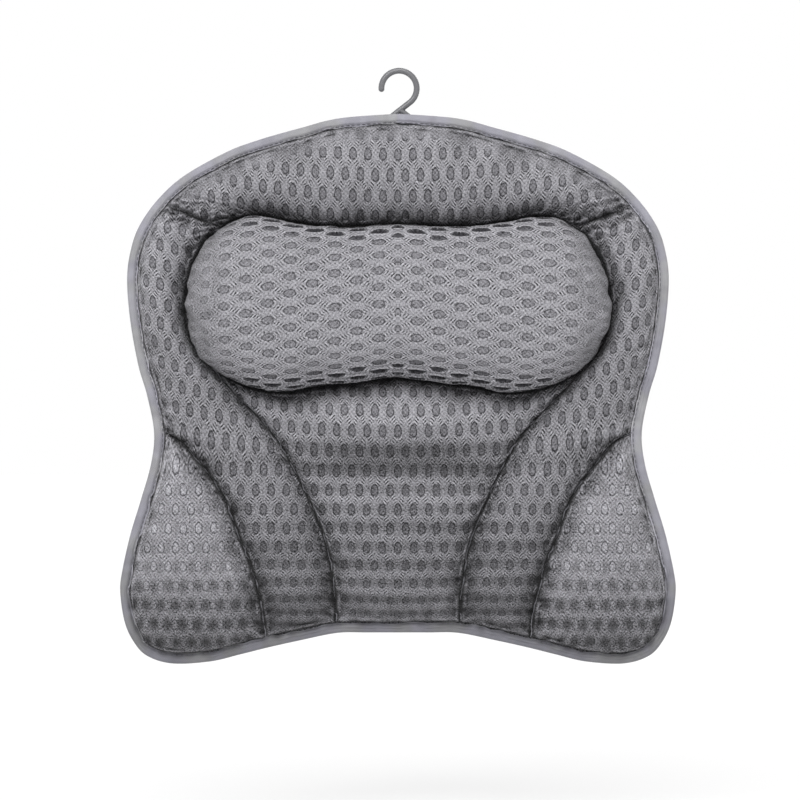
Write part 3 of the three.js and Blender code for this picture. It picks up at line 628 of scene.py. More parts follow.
def new_piece(name, points, material, body, replaced=(), weave=None, tone=None, faces=None):
    """A mesh from points in millimetres, as (x, depth, z), with what the frame has to know about it.

    Where no faces are given, the points are a net whose columns close on themselves.
    """
    if faces is None:
        faces = grid_faces(*points.shape[:2], closed=True)
    points = points.reshape(-1, 3)
    place = np.stack([points[:, 0], -points[:, 1], points[:, 2]], 1) * MM
    count, corners = faces.shape
    mesh = bpy.data.meshes.new(name)
    mesh.vertices.add(len(place))
    mesh.vertices.foreach_set("co", place.astype(np.float32).ravel())
    mesh.loops.add(count * corners)
    mesh.loops.foreach_set("vertex_index", faces.astype(np.int32).ravel())
    mesh.polygons.add(count)
    mesh.polygons.foreach_set("loop_start", np.arange(count, dtype=np.int32) * corners)
    mesh.polygons.foreach_set("loop_total", np.full(count, corners, np.int32))
    if weave is not None:
        tone = np.ones(len(points)) if tone is None else tone
        for attribute, kind, field, values in (
            ("tone", "FLOAT", "value", tone), ("weave", "FLOAT_VECTOR", "vector", weave),
        ):
            layer = mesh.attributes.new(attribute, kind, "POINT")
            layer.data.foreach_set(field, values.astype(np.float32).ravel())
    mesh.update(calc_edges=True)
    tidy_mesh(mesh)
    mesh.materials.append(material)
    made = bpy.data.objects.new(name, mesh)
    bpy.context.scene.collection.objects.link(made)
    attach(made, body)
    if replaced:
        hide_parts(*replaced)
    return made


def tidy_mesh(mesh):
    """Points in one place become one, empty faces go, and all faces look outwards, shaded smooth."""
    work = bmesh.new()
    work.from_mesh(mesh)
    bmesh.ops.remove_doubles(work, verts=work.verts, dist=1e-6)
    bmesh.ops.dissolve_degenerate(work, edges=work.edges, dist=1e-7)
    bmesh.ops.recalc_face_normals(work, faces=work.faces)
    for face in work.faces:
        face.smooth = True
    work.to_mesh(mesh)
    work.free()


def grid_faces(rows, columns, first=0, closed=False):
    """Corners of the faces of a net of points, whose columns may close on themselves."""
    wide = columns if closed else columns - 1
    j, i = np.meshgrid(np.arange(rows - 1), np.arange(wide), indexing="ij")
    right = (i + 1) % columns
    quads = [j * columns + i, j * columns + right, (j + 1) * columns + right, (j + 1) * columns + i]
    return first + np.stack(quads, 2).reshape(-1, 4)


def rim_of(rows, columns):
    """Indices round the edge of a net, in order."""
    top = np.arange(columns)
    right = np.arange(1, rows) * columns + columns - 1
    bottom = (rows - 1) * columns + np.arange(columns - 2, -1, -1)
    left = np.arange(rows - 2, 0, -1) * columns
    return np.concatenate([top, right, bottom, left])


def pad_mesh(plan, front, back):
    """Points and faces of a cushion: a net at each of two depths, and the wall between their rims."""
    rows, columns = plan.shape[:2]
    size = rows * columns
    rim = rim_of(rows, columns)
    ahead = np.roll(rim, -1)
    wall = np.stack([rim, ahead, ahead + size, rim + size], 1)
    faces = np.concatenate([grid_faces(rows, columns), grid_faces(rows, columns, size), wall])
    return np.stack([at_depth(plan, front), at_depth(plan, back)]), faces


def weave_of(place, openness=0.0):
    """The weave attribute: place on the cloth, and how far the knit stands open there."""
    return np.concatenate([place, np.broadcast_to(openness, place.shape[:-1])[..., None]], -1)


# Materials

def linear(colour):
    """An sRGB hex colour as the linear colour that the shader takes."""
    parts = [int(colour[k:k + 2], 16) / 255 for k in (1, 3, 5)]
    return (*[c / 12.92 if c <= 0.04045 else ((c + 0.055) / 1.055) ** 2.4 for c in parts], 1)


def add(tree, kind, inputs=(), output=None, **settings):
    """Adds one node with its settings and links, and gives one output. Inputs are in order or by name."""
    made = tree.nodes.new("ShaderNode" + kind)
    for name, value in settings.items():
        setattr(made, name, value)
    if isinstance(inputs, dict):
        pairs = [(made.inputs[name], value) for name, value in inputs.items()]
    else:
        pairs = zip([socket for socket in made.inputs if socket.enabled], inputs)
    for socket, value in pairs:
        if isinstance(value, bpy.types.NodeSocket):
            tree.links.new(value, socket)
        else:
            socket.default_value = value
    return made.outputs[output] if output else next(socket for socket in made.outputs if socket.enabled)


TIMES, PLUS, MINUS = {"operation": "MULTIPLY"}, {"operation": "ADD"}, {"operation": "SUBTRACT"}
# Adds the product of two values to a third
PLUS_SHARE = {"operation": "MULTIPLY_ADD"}
SCALED = {"operation": "SCALE"}
SMOOTH = {"interpolation_type": "SMOOTHSTEP"}
COLOURS = {"data_type": "RGBA"}


def new_material(name, **constants):
    """A material with its shader's constant settings, named with _ for a space."""
    material = bpy.data.materials.new(name)
    material.use_nodes = True
    tree = material.node_tree
    shader = tree.nodes["Principled BSDF"]
    for setting, value in constants.items():
        shader.inputs[setting.replace("_", " ")].default_value = value
    return material, tree, shader


def oval_distance(tree, flat, half, offsets, stretch=None):
    """The shader's own distance from the nearest oval's centre, 1 on its rim."""
    half_cell = (HOLE_PITCH / 2, ROW_PITCH, 0)
    distances = []
    for across, up in offsets:
        move = (across * HOLE_PITCH, up * 2 * ROW_PITCH, 0)
        moved = add(tree, "VectorMath", (flat, move), **PLUS)
        local = add(tree, "VectorMath", (moved, half_cell, [-c for c in half_cell]), operation="WRAP")
        local = add(tree, "VectorMath", (local, (*half, 1)), operation="DIVIDE")
        if stretch:
            local = add(tree, "VectorMath", (local, stretch), operation="DIVIDE")
        upright = add(tree, "VectorMath", (local, (0, HOLE_TAPER, 0)), operation="DOT_PRODUCT")
        wider = add(tree, "Math", (1.0, upright), **PLUS)
        narrower = add(tree, "CombineXYZ", (wider, 1.0, 0.0))
        tapered = add(tree, "VectorMath", (local, narrower), **TIMES)
        distances.append(add(tree, "VectorMath", (tapered,), operation="LENGTH"))
    return add(tree, "Math", distances, operation="MINIMUM")


# Ladders of loops run slantwise from hole to hole. The real rungs are 1.4 mm apart, too fine to show, and
# are drawn 1.65 mm apart, by this many radians to the millimetre each way.
RUNG_TURNS = 2.7
# The knit's own stitches cross each other slantwise. The real ones are 1 mm apart, too fine to show, and
# are drawn 2 mm apart, with fibre over them.
STITCH_TURNS = 2.2
# Distances from a hole's centre, as shares of its half sizes, where its backing, its rim of painted shade
# and its ring of painted highlight fade
BACKING, RIM_IN, RIM_OUT = (0.8, 1.0), (0.76, 0.92), (1.0, 1.17)
LIP_IN, LIP_OUT, LADDER_START = (1.1, 1.3), (1.35, 1.75), (1.05, 1.3)


def ring_share(tree, distance, rise, fall):
    """1 in a ring round each hole, from where it rises to where it falls off."""
    rising = add(tree, "MapRange", (distance, *rise), **SMOOTH)
    falling = add(tree, "MapRange", (distance, *fall, 1.0, 0.0), **SMOOTH)
    return add(tree, "Math", (rising, falling), **TIMES)


def ladder_rungs(tree, flat, uneven):
    """The light and dark of both slanting ladders, from -1 to 1."""
    ladders = []
    for sign in (1, -1):
        slant = (1 / HOLE_PITCH, sign * 0.5 / ROW_PITCH, 0)
        across = add(tree, "VectorMath", (flat, slant), operation="DOT_PRODUCT")
        climb = (-sign * RUNG_TURNS, RUNG_TURNS, 0)
        along = add(tree, "VectorMath", (flat, climb), operation="DOT_PRODUCT")
        wave = add(tree, "Math", (add(tree, "Math", (along, uneven), **PLUS),), operation="SINE")
        folded = add(tree, "Math", (across, 0.5), operation="PINGPONG")
        band = add(tree, "MapRange", (folded, 0.07, 0.19, 1.0, 0.0), **SMOOTH)
        ladders.append(add(tree, "Math", (band, wave), **TIMES))
    return add(tree, "Math", ladders, **PLUS)


def crossing_stitches(tree, flat, uneven):
    turns = add(tree, "VectorMath", (flat, STITCH_TURNS), **SCALED)
    across, up, _ = add(tree, "SeparateXYZ", (turns,)).node.outputs
    waves = [
        add(tree, "Math", (add(tree, "Math", (across, uneven), **PLUS),), operation="SINE"),
        add(tree, "Math", (add(tree, "Math", (up, uneven), **MINUS),), operation="SINE"),
    ]
    return add(tree, "Math", waves, **TIMES)


def cloth_state(tree):
    """What the meshes say: place on the cloth, and how far the knit is open, stretched or inside out."""
    place = add(tree, "Attribute", output="Vector", attribute_name="weave")
    across, up, openness = add(tree, "SeparateXYZ", (place,)).node.outputs
    flat = add(tree, "CombineXYZ", (across, up))
    opened = add(tree, "MapRange", (openness, 0.0, 1.0), **SMOOTH)
    stretched = add(tree, "MapRange", (openness, 1.0, 2.0), **SMOOTH)
    boss = add(tree, "MapRange", (openness, -1.0, 0.0, 1.0, 0.0), **SMOOTH)
    shown = add(tree, "Math", (opened, boss), operation="MAXIMUM")
    return flat, opened, stretched, boss, shown


def hole_parts(tree, flat, blotch, stretched, boss, shown):
    """Distance from the nearest hole's centre, and its inside, its dark rim of painted shade, which the
    bump sinks as well, and a ring of painted highlight round it.
    """
    # Holes shorter where the cloth lies slack, and drawn out sideways where it is pulled tight over an edge
    slack = add(tree, "MapRange", (shown, 0.72, 0.93, 0.82, 1.0), **SMOOTH)
    pulled = add(tree, "Math", (stretched, 0.35, slack), **PLUS_SHARE)
    stretch = add(tree, "CombineXYZ", (1.0, pulled, 1.0))
    hole = oval_distance(tree, flat, HOLE_HALF, HOLES, stretch)
    hole = add(tree, "Math", (blotch, 0.4, hole), **PLUS_SHARE)
    inside = add(tree, "MapRange", (hole, *BACKING, 1.0, 0.0), **SMOOTH)
    rim = ring_share(tree, hole, RIM_IN, RIM_OUT)
    # The rim's painted shade comes and goes in random patches
    rim_shade_patches = add(tree, "MapRange", (blotch, -0.08, 0.14, 1.0, 0.5), **SMOOTH)
    on_boss = add(tree, "Math", (boss, -0.15, 1.0), **PLUS_SHARE)
    for share in (rim_shade_patches, on_boss, shown):
        rim = add(tree, "Math", (rim, share), **TIMES)
    lip_highlight = add(tree, "Math", (ring_share(tree, hole, LIP_IN, LIP_OUT), shown), **TIMES)
    return hole, inside, rim, lip_highlight


def yarn_parts(tree, flat, blotch, hole, boss, shown):
    """The ladders of loops between the holes, the crossing stitches, the fibre and its light flecks."""
    uneven = add(tree, "Math", (blotch, 4.0), **TIMES)
    broken = add(tree, "TexNoise", {"Vector": flat, "Scale": 0.3})
    broken = add(tree, "MapRange", (broken, 0.35, 0.6, 0.45, 1.0), **SMOOTH)
    ladder = ladder_rungs(tree, flat, uneven)
    for share in (
        add(tree, "MapRange", (hole, *LADDER_START), **SMOOTH),
        broken,
        add(tree, "MapRange", (shown, 0.5, 1.0, 0.4, 1.0), **SMOOTH),
        add(tree, "Math", (boss, -0.6, 1.0), **PLUS_SHARE),
    ):
        ladder = add(tree, "Math", (ladder, share), **TIMES)
    loops = add(tree, "Math", (crossing_stitches(tree, flat, uneven), broken), **TIMES)
    fibre = add(tree, "TexNoise", {"Vector": flat, "Scale": 1.1, "Detail": 3.0, "Roughness": 0.7})
    fibre = add(tree, "Math", (fibre, 0.5), **MINUS)
    fleck = add(tree, "TexNoise", {"Vector": flat, "Scale": 0.75, "Detail": 1.0})
    fleck = add(tree, "Math", (
        add(tree, "MapRange", (fleck, 0.56, 0.72), **SMOOTH),
        add(tree, "MapRange", (fleck, 0.28, 0.44, 1.0, 0.0), **SMOOTH),
    ), **MINUS)
    return ladder, loops, fibre, fleck


def air_mesh_material():
    """Polyester air mesh, warp-knitted in two faces with oval holes: matt, with a faint sheen of fibre."""
    material, tree, shader = new_material(
        "polyester_air_mesh_knit", Roughness=0.85, IOR=1.5, Specular_IOR_Level=0.3,
        Sheen_Weight=0.1, Sheen_Roughness=0.5,
    )
    flat, opened, stretched, boss, shown = cloth_state(tree)
    blotch = add(tree, "TexNoise", {"Vector": flat, "Scale": 0.55, "Detail": 2.0})
    blotch = add(tree, "Math", (blotch, 0.5), **MINUS)
    hole, inside, rim, lip_highlight = hole_parts(tree, flat, blotch, stretched, boss, shown)
    ladder, loops, fibre, fleck = yarn_parts(tree, flat, blotch, hole, boss, shown)
    bar = oval_distance(tree, flat, HOLE_HALF * np.array([0.9, 1.5]), BARS)
    patch = add(tree, "TexNoise", {"Vector": flat, "Scale": 0.035, "Detail": 2.0})

    # How light the cloth is: each part with the share that it adds. The tone attribute carries the meshes'
    # painted shade and highlights, and where it is painted dark the fibre shows more.
    tone = add(tree, "Attribute", output="Fac", attribute_name="tone")
    rough = add(tree, "MapRange", (tone, 0.4, 0.85, 2.0, 1.0), **SMOOTH)
    fuzz = add(tree, "Math", (boss, 0.12, 0.34), **PLUS_SHARE)
    light = 0.775
    for part, share in (
        (patch, 0.24),
        (ladder, 1.0),
        (loops, add(tree, "MapRange", (shown, 0.5, 1.0, 0.3, 0.44), **SMOOTH)),
        (fibre, add(tree, "Math", (rough, 3.0), **TIMES)),
        (fleck, add(tree, "Math", (rough, fuzz), **TIMES)),
        # Painted highlight on the bars between the holes and in a ring round each hole
        (add(tree, "MapRange", (bar, 0.4, 1.4, 0.17, 0.0), **SMOOTH), opened),
        (lip_highlight, add(tree, "Math", (stretched, 0.5, 0.16), **PLUS_SHARE)),
    ):
        light = add(tree, "Math", (part, share, light), **PLUS_SHARE)
    light = add(tree, "Math", (light, tone), **TIMES)

    # The backing inside a hole shows its own colour; painted shade makes it darkest where the cloth is
    # stretched, painted light makes it lighter where a hole is a boss, and the rim is painted shade
    face = linear("#97969b")
    for part, share, colour in (
        (inside, opened, "#858489"), (inside, stretched, "#3a393e"),
        (inside, add(tree, "Math", (boss, 0.5), **TIMES), "#aaa9af"), (rim, 0.95, "#242328"),
    ):
        factor = add(tree, "Math", (part, share), **TIMES)
        face = add(tree, "Mix", (factor, face, linear(colour)), **COLOURS)
    tree.links.new(add(tree, "VectorMath", (face, light), **SCALED), shader.inputs["Base Color"])

    relief = add(tree, "Math", (ladder, 0.4), **TIMES)
    for part, share in ((loops, 0.2), (fibre, 0.6), (rim, -0.45)):
        relief = add(tree, "Math", (part, share, relief), **PLUS_SHARE)
    bump = add(tree, "Bump", {"Height": relief, "Strength": 0.8, "Distance": 0.001})
    tree.links.new(bump, shader.inputs["Normal"])
    return material


def tape_material(name, colour, dark, thread_mm, sheen, faded=None):
    """Woven polyester tape: plain weave, its threads drawn a little coarser than the real ones to show."""
    material, tree, shader = new_material(
        name, Roughness=0.75, IOR=1.5, Sheen_Weight=sheen, Sheen_Roughness=0.4,
    )
    place = add(tree, "Attribute", output="Vector", attribute_name="weave")
    turns = add(tree, "VectorMath", (place, 2 * math.pi / thread_mm), **SCALED)
    warp, weft, _ = add(tree, "SeparateXYZ", (turns,)).node.outputs
    waves = [add(tree, "Math", (threads,), operation="SINE") for threads in (warp, weft)]
    weave = add(tree, "Math", waves, **TIMES)
    fleck = add(tree, "TexNoise", {"Vector": place, "Scale": 1.1, "Detail": 3.0})
    patch = add(tree, "TexNoise", {"Vector": place, "Scale": 0.06, "Detail": 1.0})
    factor = add(tree, "Math", (weave, 0.22), **TIMES)
    for part, share in ((fleck, 0.5), (patch, 0.35)):
        factor = add(tree, "Math", (part, share, factor), **PLUS_SHARE)
    tone = add(tree, "Attribute", output="Fac", attribute_name="tone")
    cloud = add(tree, "TexNoise", {"Vector": place, "Scale": 0.035, "Detail": 2.0})
    cloud = add(tree, "MapRange", (cloud, 0.42, 0.6), **SMOOTH)
    base = add(tree, "Mix", (cloud, linear(colour), linear(faded or colour)), **COLOURS)
    woven = add(tree, "Mix", (factor, base, linear(dark)), **COLOURS)
    tree.links.new(add(tree, "VectorMath", (woven, tone), **SCALED), shader.inputs["Base Color"])
    height = add(tree, "Math", (fleck, 0.8, weave), **PLUS_SHARE)
    bump = add(tree, "Bump", {"Height": height, "Strength": 0.45, "Distance": 0.0003})
    tree.links.new(bump, shader.inputs["Normal"])
    return material


def moulded_material(name, colour, roughness):
    """Injection-moulded plastic: even colour, satin, with the faint unevenness that the mould leaves."""
    material, tree, shader = new_material(name, IOR=1.49)
    place = add(tree, "TexCoord", output="Object")
    cloud = add(tree, "TexNoise", {"Vector": place, "Scale": 90.0, "Detail": 3.0})
    grain = add(tree, "TexNoise", {"Vector": place, "Scale": 1600.0, "Detail": 2.0})
    light = add(tree, "Math", (cloud, 0.14, 0.93), **PLUS_SHARE)
    tint = add(tree, "VectorMath", (linear(colour)[:3], light), **SCALED)
    tree.links.new(tint, shader.inputs["Base Color"])
    rough = add(tree, "Math", (cloud, 0.1, roughness - 0.05), **PLUS_SHARE)
    tree.links.new(rough, shader.inputs["Roughness"])
    bump = add(tree, "Bump", {"Height": grain, "Strength": 0.15, "Distance": 0.0001})
    tree.links.new(bump, shader.inputs["Normal"])
    return material


def vinyl_material():
    """Clear soft PVC, moulded and glossy, a little milky in soft clouds."""
    material, tree, shader = new_material("clear_soft_pvc_moulded", IOR=1.53, Transmission_Weight=0.94)
    place = add(tree, "TexCoord", output="Object")
    cloud = add(tree, "TexNoise", {"Vector": place, "Scale": 120.0, "Detail": 2.0})
    milky = add(tree, "Mix", (cloud, linear("#fbfcfc"), linear("#f1f4f5")), **COLOURS)
    tree.links.new(milky, shader.inputs["Base Color"])
    gloss = add(tree, "MapRange", (cloud, 0.2, 0.8, 0.05, 0.12), **SMOOTH)
    tree.links.new(gloss, shader.inputs["Roughness"])
    return material


air_mesh = air_mesh_material()
binding = tape_material("polyester_binding_tape_woven", "#a8a7b1", "#83828a", 1.5, 0.08, "#aaaaaa")
thread = tape_material("polyester_sewing_thread_twisted", "#6c6b73", "#4c4b52", 0.5, 0.1)
seam_thread = tape_material("polyester_quilting_thread_twisted", "#88878d", "#5c5b61", 0.9, 0.1)
webbing = tape_material("polyester_webbing_woven", "#7d7c82", "#5d5c61", 1.6, 0.05)
hook_plastic = moulded_material("grey_polypropylene_moulded", "#6c6c6f", 0.27)
eyelet_plastic = moulded_material("grey_acetal_moulded", "#929296", 0.4)
vinyl = vinyl_material()

# Quilted cushions

PAD_OF = {
    "upper_arch": "upper_arch_pad", "centre_panel": "centre_pad", "roll_base": "roll_base_pad",
    "right_side": "right_side_pad", "left_side": "left_side_pad",
    "right_wing": "right_wing_pad", "left_wing": "left_wing_pad",
}
# The edge where a corner's folds start
CREASED = {"upper_arch": "end", "right_side": "top", "left_side": "top"}
# The middle line of a panel made of two halves isn't a seam
MIDDLE_LINE = {"upper_arch": "start", "centre_panel": "start", "roll_base": "start"}
OUTSIDE = {
    "upper_arch": ["top"], "centre_panel": ["foot"], "roll_base": [],
    "right_side": ["foot"], "left_side": ["foot"],
    "right_wing": ["start", "foot"], "left_wing": ["start", "foot"],
}

# Soft creases across the lower panels: level, and how far the cloth sinks there or stands up
CENTRE_CREASES = [
    (-60, 0), (-70, 0.8), (-84, 1.2), (-93, -0.8), (-103, -3.0), (-112, -3.2), (-122, 0.2), (-138, 0.9),
    (-150, -0.9), (-163, -0.1), (-176, -0.8), (-192, -0.2), (-204, -1.1), (-212, -0.5), (-230, 0),
]
BAND_CREASES = [
    (-60, 0), (-85, 0.4), (-98, 0.2), (-107, -1.1), (-118, 0.3), (-150, 0), (-160, -0.4), (-171, -1.1),
    (-182, 0), (-196, -0.4), (-206, -1.3), (-214, -0.2), (-221, -1.2), (-235, 0),
]
# Painted shade by level: how light the cloth is painted at each level, darker towards the foot
LEVEL_PAINTED_SHADE = {
    "upper_arch": [(60, 0.87), (130, 0.85)],
    "centre": [(-215, 0.66), (-160, 0.74), (-140, 0.77), (-95, 0.83)],
    "side": [(-225, 0.47), (-190, 0.61), (-150, 0.69), (-60, 0.72), (0, 0.89), (60, 0.92)],
    "wing": [(-240, 0.5), (-215, 0.62), (-180, 0.94), (-80, 1.0)],
}
# Folds and the knit's relief grow from nothing at a seam over this distance
SETTLE = 3
# The share of the swell that a seam pulls in, and how far off that reaches
SEAM_DIP, SEAM_DIP_REACH = 0.45, 1.6
# How far the cloth stands up beside the binding, and how far off that reaches
TAPE_BULGE, TAPE_BULGE_REACH = 1.6, 9
LIP_RISE, GAP_DEPTH, ROW_DIP, WING_BOSS_RISE = 1.1, 0.9, 1.0, 0.7
# Slow unevenness of the filling
LUMP_HEIGHT, LUMP_SIZE = 1.1, 30
CREASE_WANDER, CREASE_WANDER_SIZE = 2.2, 26
# Soft folds beside a corner's crease
CORNER_FOLD_PITCH, CORNER_FOLD_HEIGHT, CORNER_FOLD_REACH = 8.2, 2.9, 9.5

def row_wave(place):
    """1 along the pattern's rows of holes on the middle line, -1 between them."""
    return np.cos(2 * np.pi * place[..., 1] / ROW_PITCH)


def from_levels(table, z):
    """Values of a table by level, softened over a few millimetres."""
    levels = np.array(sorted(table))
    fine = np.arange(-260, 140, 1.0)
    values = np.interp(fine, levels[:, 0], levels[:, 1])
    window = np.hanning(11)
    soft = np.convolve(np.pad(values, 4, "edge"), window[1:-1] / window.sum(), "valid")
    return np.interp(z, fine, soft)


def creases_of(name, each):
    """How far soft creases lift or sink the cloth. They wander a little as they cross the panel."""
    plan = each["plan"]
    level = plan[..., 1] + CREASE_WANDER * noise_on(plan, CREASE_WANDER_SIZE, seed=17)
    if name == "centre_panel":
        sag = 4.0 * (plan[..., 0] / 90) ** 2
        in_middle = 1 - 0.55 * smoothstep(25, 75, np.abs(plan[..., 0]))
        return from_levels(CENTRE_CREASES, level + sag) * in_middle
    if name.endswith("side"):
        return from_levels(BAND_CREASES, level)
    return np.zeros(plan.shape[:2])


def seams_of(name, each):
    """Distances and runs along a panel's seams, with the share of each seam that is bound by the tape."""
    for side, (distance, along) in each["near"].items():
        if side != MIDDLE_LINE.get(name):
            yield distance, along, bound_share(name, side, each)


def bound_share(name, side, each):
    """1 along a seam under the binding: a side panel's outer seam lies there down to the waist."""
    if name.endswith("side") and side == "start":
        waist_share = SIDE / (SIDE + OUTER)
        return smoothstep(waist_share + 0.02, waist_share - 0.01, each["v"])
    return np.full(each["v"].shape, float(side in OUTSIDE[name]))


def edge_distance(name, each):
    return np.minimum.reduce([distance for distance, _, _ in seams_of(name, each)])


def bound_distance(name, each):
    """Distance from the binding, or a long way off where a panel doesn't reach it."""
    reaches = [distance + FAR_AWAY * (1 - bound) for distance, _, bound in seams_of(name, each)]
    return np.minimum.reduce(reaches)


def seam_folds(name, each):
    """How far stitch puckers, gathers and the corner's folds lift or sink the cloth near its seams."""
    lift = np.zeros(each["plan"].shape[:2])
    for k, (distance, along, bound) in enumerate(seams_of(name, each)):
        lift += bound * stitch_puckers(distance, along, pitch=8.5, reach=4.6, height=2.0, seed=11 + k)
        lift += (1 - bound) * stitch_puckers(distance, along, pitch=5.2, reach=5.0, height=3.6, seed=11 + k)
        lift += gathers(distance, along, period=14.0, reach=9.0, height=3.4, seed=31 + k)
    if name in CREASED:
        distance, along = each["near"][CREASED[name]]
        wander = 7.0 * soft_noise(along, distance, size=11, seed=5)
        folds = np.cos(2 * np.pi * (distance + wander) / CORNER_FOLD_PITCH)
        lift -= CORNER_FOLD_HEIGHT * (0.25 + folds) * np.exp(-distance / CORNER_FOLD_REACH)
    return lift * smoothstep(0, SETTLE, edge_distance(name, each)) * each.get("fullness", 1)


def ridge(distance, wide):
    return np.exp(-((distance / wide) ** 2))


def seam_lips(name, each):
    """How much of the scalloped lips beside the stitches is here, and of the dark gaps before them."""
    lips, gaps = np.zeros(each["plan"].shape[:2]), np.zeros(each["plan"].shape[:2])
    for k, (distance, along, bound) in enumerate(seams_of(name, each)):
        scallop = np.clip(0.55 + 1.1 * noise_along(along, 4.4, 51 + k, row=5 * k), 0, 1.1)
        wander = 0.6 * noise_along(along, 7, 55 + k, row=9 * k)
        out, wide = 2.6 - 1.0 * bound, 1.0 - 0.1 * bound
        lips = np.maximum(lips, scallop * ridge(distance - out - wander, wide))
        gap = np.clip(0.4 + 0.3 * bound + 1.3 * noise_along(along, 5.5, 61 + k, row=3 * k), 0, 1)
        gaps = np.maximum(gaps, gap * ridge(distance, 1.4 - 0.5 * bound))
        second = bound * np.clip(0.15 + 1.3 * noise_along(along, 5.5, 65 + k, row=7 * k), 0, 0.9)
        gaps = np.maximum(gaps, second * ridge(distance - out - wander - 1.7, 0.8))
    return lips, gaps


def low_in_wing(plan):
    """How far the bosses of a wing stand out, which they do more and more towards its foot."""
    z = plan[..., 1]
    uneven = 0.12 * noise_on(plan, size=9, seed=44)
    return 0.28 * smoothstep(-80, -120, z) + (0.72 + uneven) * smoothstep(-150, -224, z)


def wing_bosses(place):
    return 1 - smoothstep(0.5, 1.2, nearest_oval(place, HOLE_HALF, HOLES))


def front_depths(name, each, openness, bands, place):
    """Depth of the front cloth: swell, folds at the seams, creases, and the knit."""
    plan, edge = each["plan"], edge_distance(name, each)
    settle = smoothstep(0, SETTLE, edge)
    lips, gaps = seam_lips(name, each)
    full = 1 - SEAM_DIP * np.exp(-edge / SEAM_DIP_REACH)
    depth = cover_seam_depth + each["front"] * full + seam_folds(name, each)
    at_tape = np.exp(-bound_distance(name, each) / TAPE_BULGE_REACH)
    depth = depth + TAPE_BULGE * at_tape + LIP_RISE * lips - GAP_DEPTH * gaps
    depth = depth + LUMP_HEIGHT * noise_on(plan, LUMP_SIZE, seed=3) * smoothstep(0, 14, edge)
    depth = depth + creases_of(name, each) * smoothstep(0, 9, edge)
    depth = depth - ROW_DIP * bands * row_wave(place) * settle
    if name.endswith("wing"):
        depth = depth + WING_BOSS_RISE * wing_bosses(place) * low_in_wing(plan) * settle
    return depth + knit_relief(place, openness) * settle


def painted_seam_shade(name, each):
    """Painted shade near a seam: darker down in it and less so beside the tape, with a painted highlight
    along a corner's crease.
    """
    plan, bound, distance = each["plan"], bound_distance(name, each), edge_distance(name, each)
    # Painted shade down in the seam's groove, with a ragged edge
    edge = distance + 1.6 * noise_on(plan, size=3.4, seed=41) * smoothstep(9, 1, distance)
    in_seam = 0.12 + 0.46 * smoothstep(1.0, 6.0, edge) + 0.42 * smoothstep(3, 15, edge)
    if name in CREASED:
        # Painted highlight along the corner's crease
        in_seam = in_seam + 0.3 * ridge(each["near"][CREASED[name]][0], 5)
    # Painted shade beside the binding
    at_tape = 0.76 + 0.1 * smoothstep(0.2, 1.6, bound) + 0.14 * smoothstep(1.5, 9, bound)
    by_tape = bound < distance + 0.01
    return np.where(by_tape, at_tape, in_seam), by_tape


def tone_of(name, each, bands, place):
    """How light the cloth is painted: painted shade down in the seams, along the lower rows, in folds and
    creases and towards the foot, and painted highlights on the lips beside the stitches.
    """
    plan, distance = each["plan"], edge_distance(name, each)
    z = plan[..., 1]
    rows = 0.5 + 0.5 * row_wave(place)
    # Painted shade along the rows of holes, where the cloth ribs
    row_shade = 0.34 + 0.12 * smoothstep(-140, -215, z)
    tone, by_tape = painted_seam_shade(name, each)
    tone = tone * (1 - row_shade * bands * rows)
    # Mottled painted shade near the seams, and painted shade and highlight that follow the folds' dips and
    # rises
    fine = noise_on(plan, size=2.2, seed=42)
    folds = np.clip(1 + 0.15 * seam_folds(name, each), 0.5, 1.35)
    tone = tone * folds * (1 + 0.5 * fine * np.exp(-distance / 3.5))
    lips, gaps = seam_lips(name, each)
    # Painted highlight on the lips beside the stitches, and painted shadow in the gaps before them
    lit = np.where(by_tape, 1.6, 1.25)
    tone = (tone + (lit - tone) * 0.65 * np.clip(lips, 0, 1)) * (1 - 0.85 * gaps)
    if name == "roll_base":
        return tone
    kind = next(kind for kind in LEVEL_PAINTED_SHADE if kind in name)
    # Painted shade, darker towards the foot and in the creases' dips, lighter on their rises
    tone = tone * from_levels(LEVEL_PAINTED_SHADE[kind], z) * (1 + 0.17 * creases_of(name, each))
    return tone * wing_boss_painted_shade(plan, place) if kind == "wing" else tone


def wing_boss_painted_shade(plan, place):
    """Painted shade low in a wing: darker between its bosses, with a painted highlight on them."""
    uneven = np.stack([noise_on(plan, size=5, seed=seed) for seed in (46, 47)], -1)
    between = nearest_oval(place + 1.3 * uneven, HOLE_HALF * np.array([1.0, 1.3]), BARS)
    low = low_in_wing(plan)
    return (1 - 0.5 * (1 - smoothstep(0.4, 1.6, between)) * low) * (1 + 0.36 * wing_bosses(place) * low)


def knit_state(name, each):
    """How far the knit's holes stand open, and how much its rows draw together in bands, by level."""
    z = each["plan"][..., 1]
    openness = 1 - 0.42 * smoothstep(-130, -215, z)
    bands = smoothstep(-60, -110, z)
    if name.endswith("wing"):
        openness = -0.85 + 0.35 * smoothstep(-160, -205, z)
        bands = 0.95 * smoothstep(-150, -215, z)
    if name.endswith("side"):
        bands = 0.9 * smoothstep(-110, -170, z)
    near, clear = (5, 15) if name == "upper_arch" else (1, 8)
    return openness * (0.3 + 0.7 * smoothstep(near, clear, bound_distance(name, each))), bands


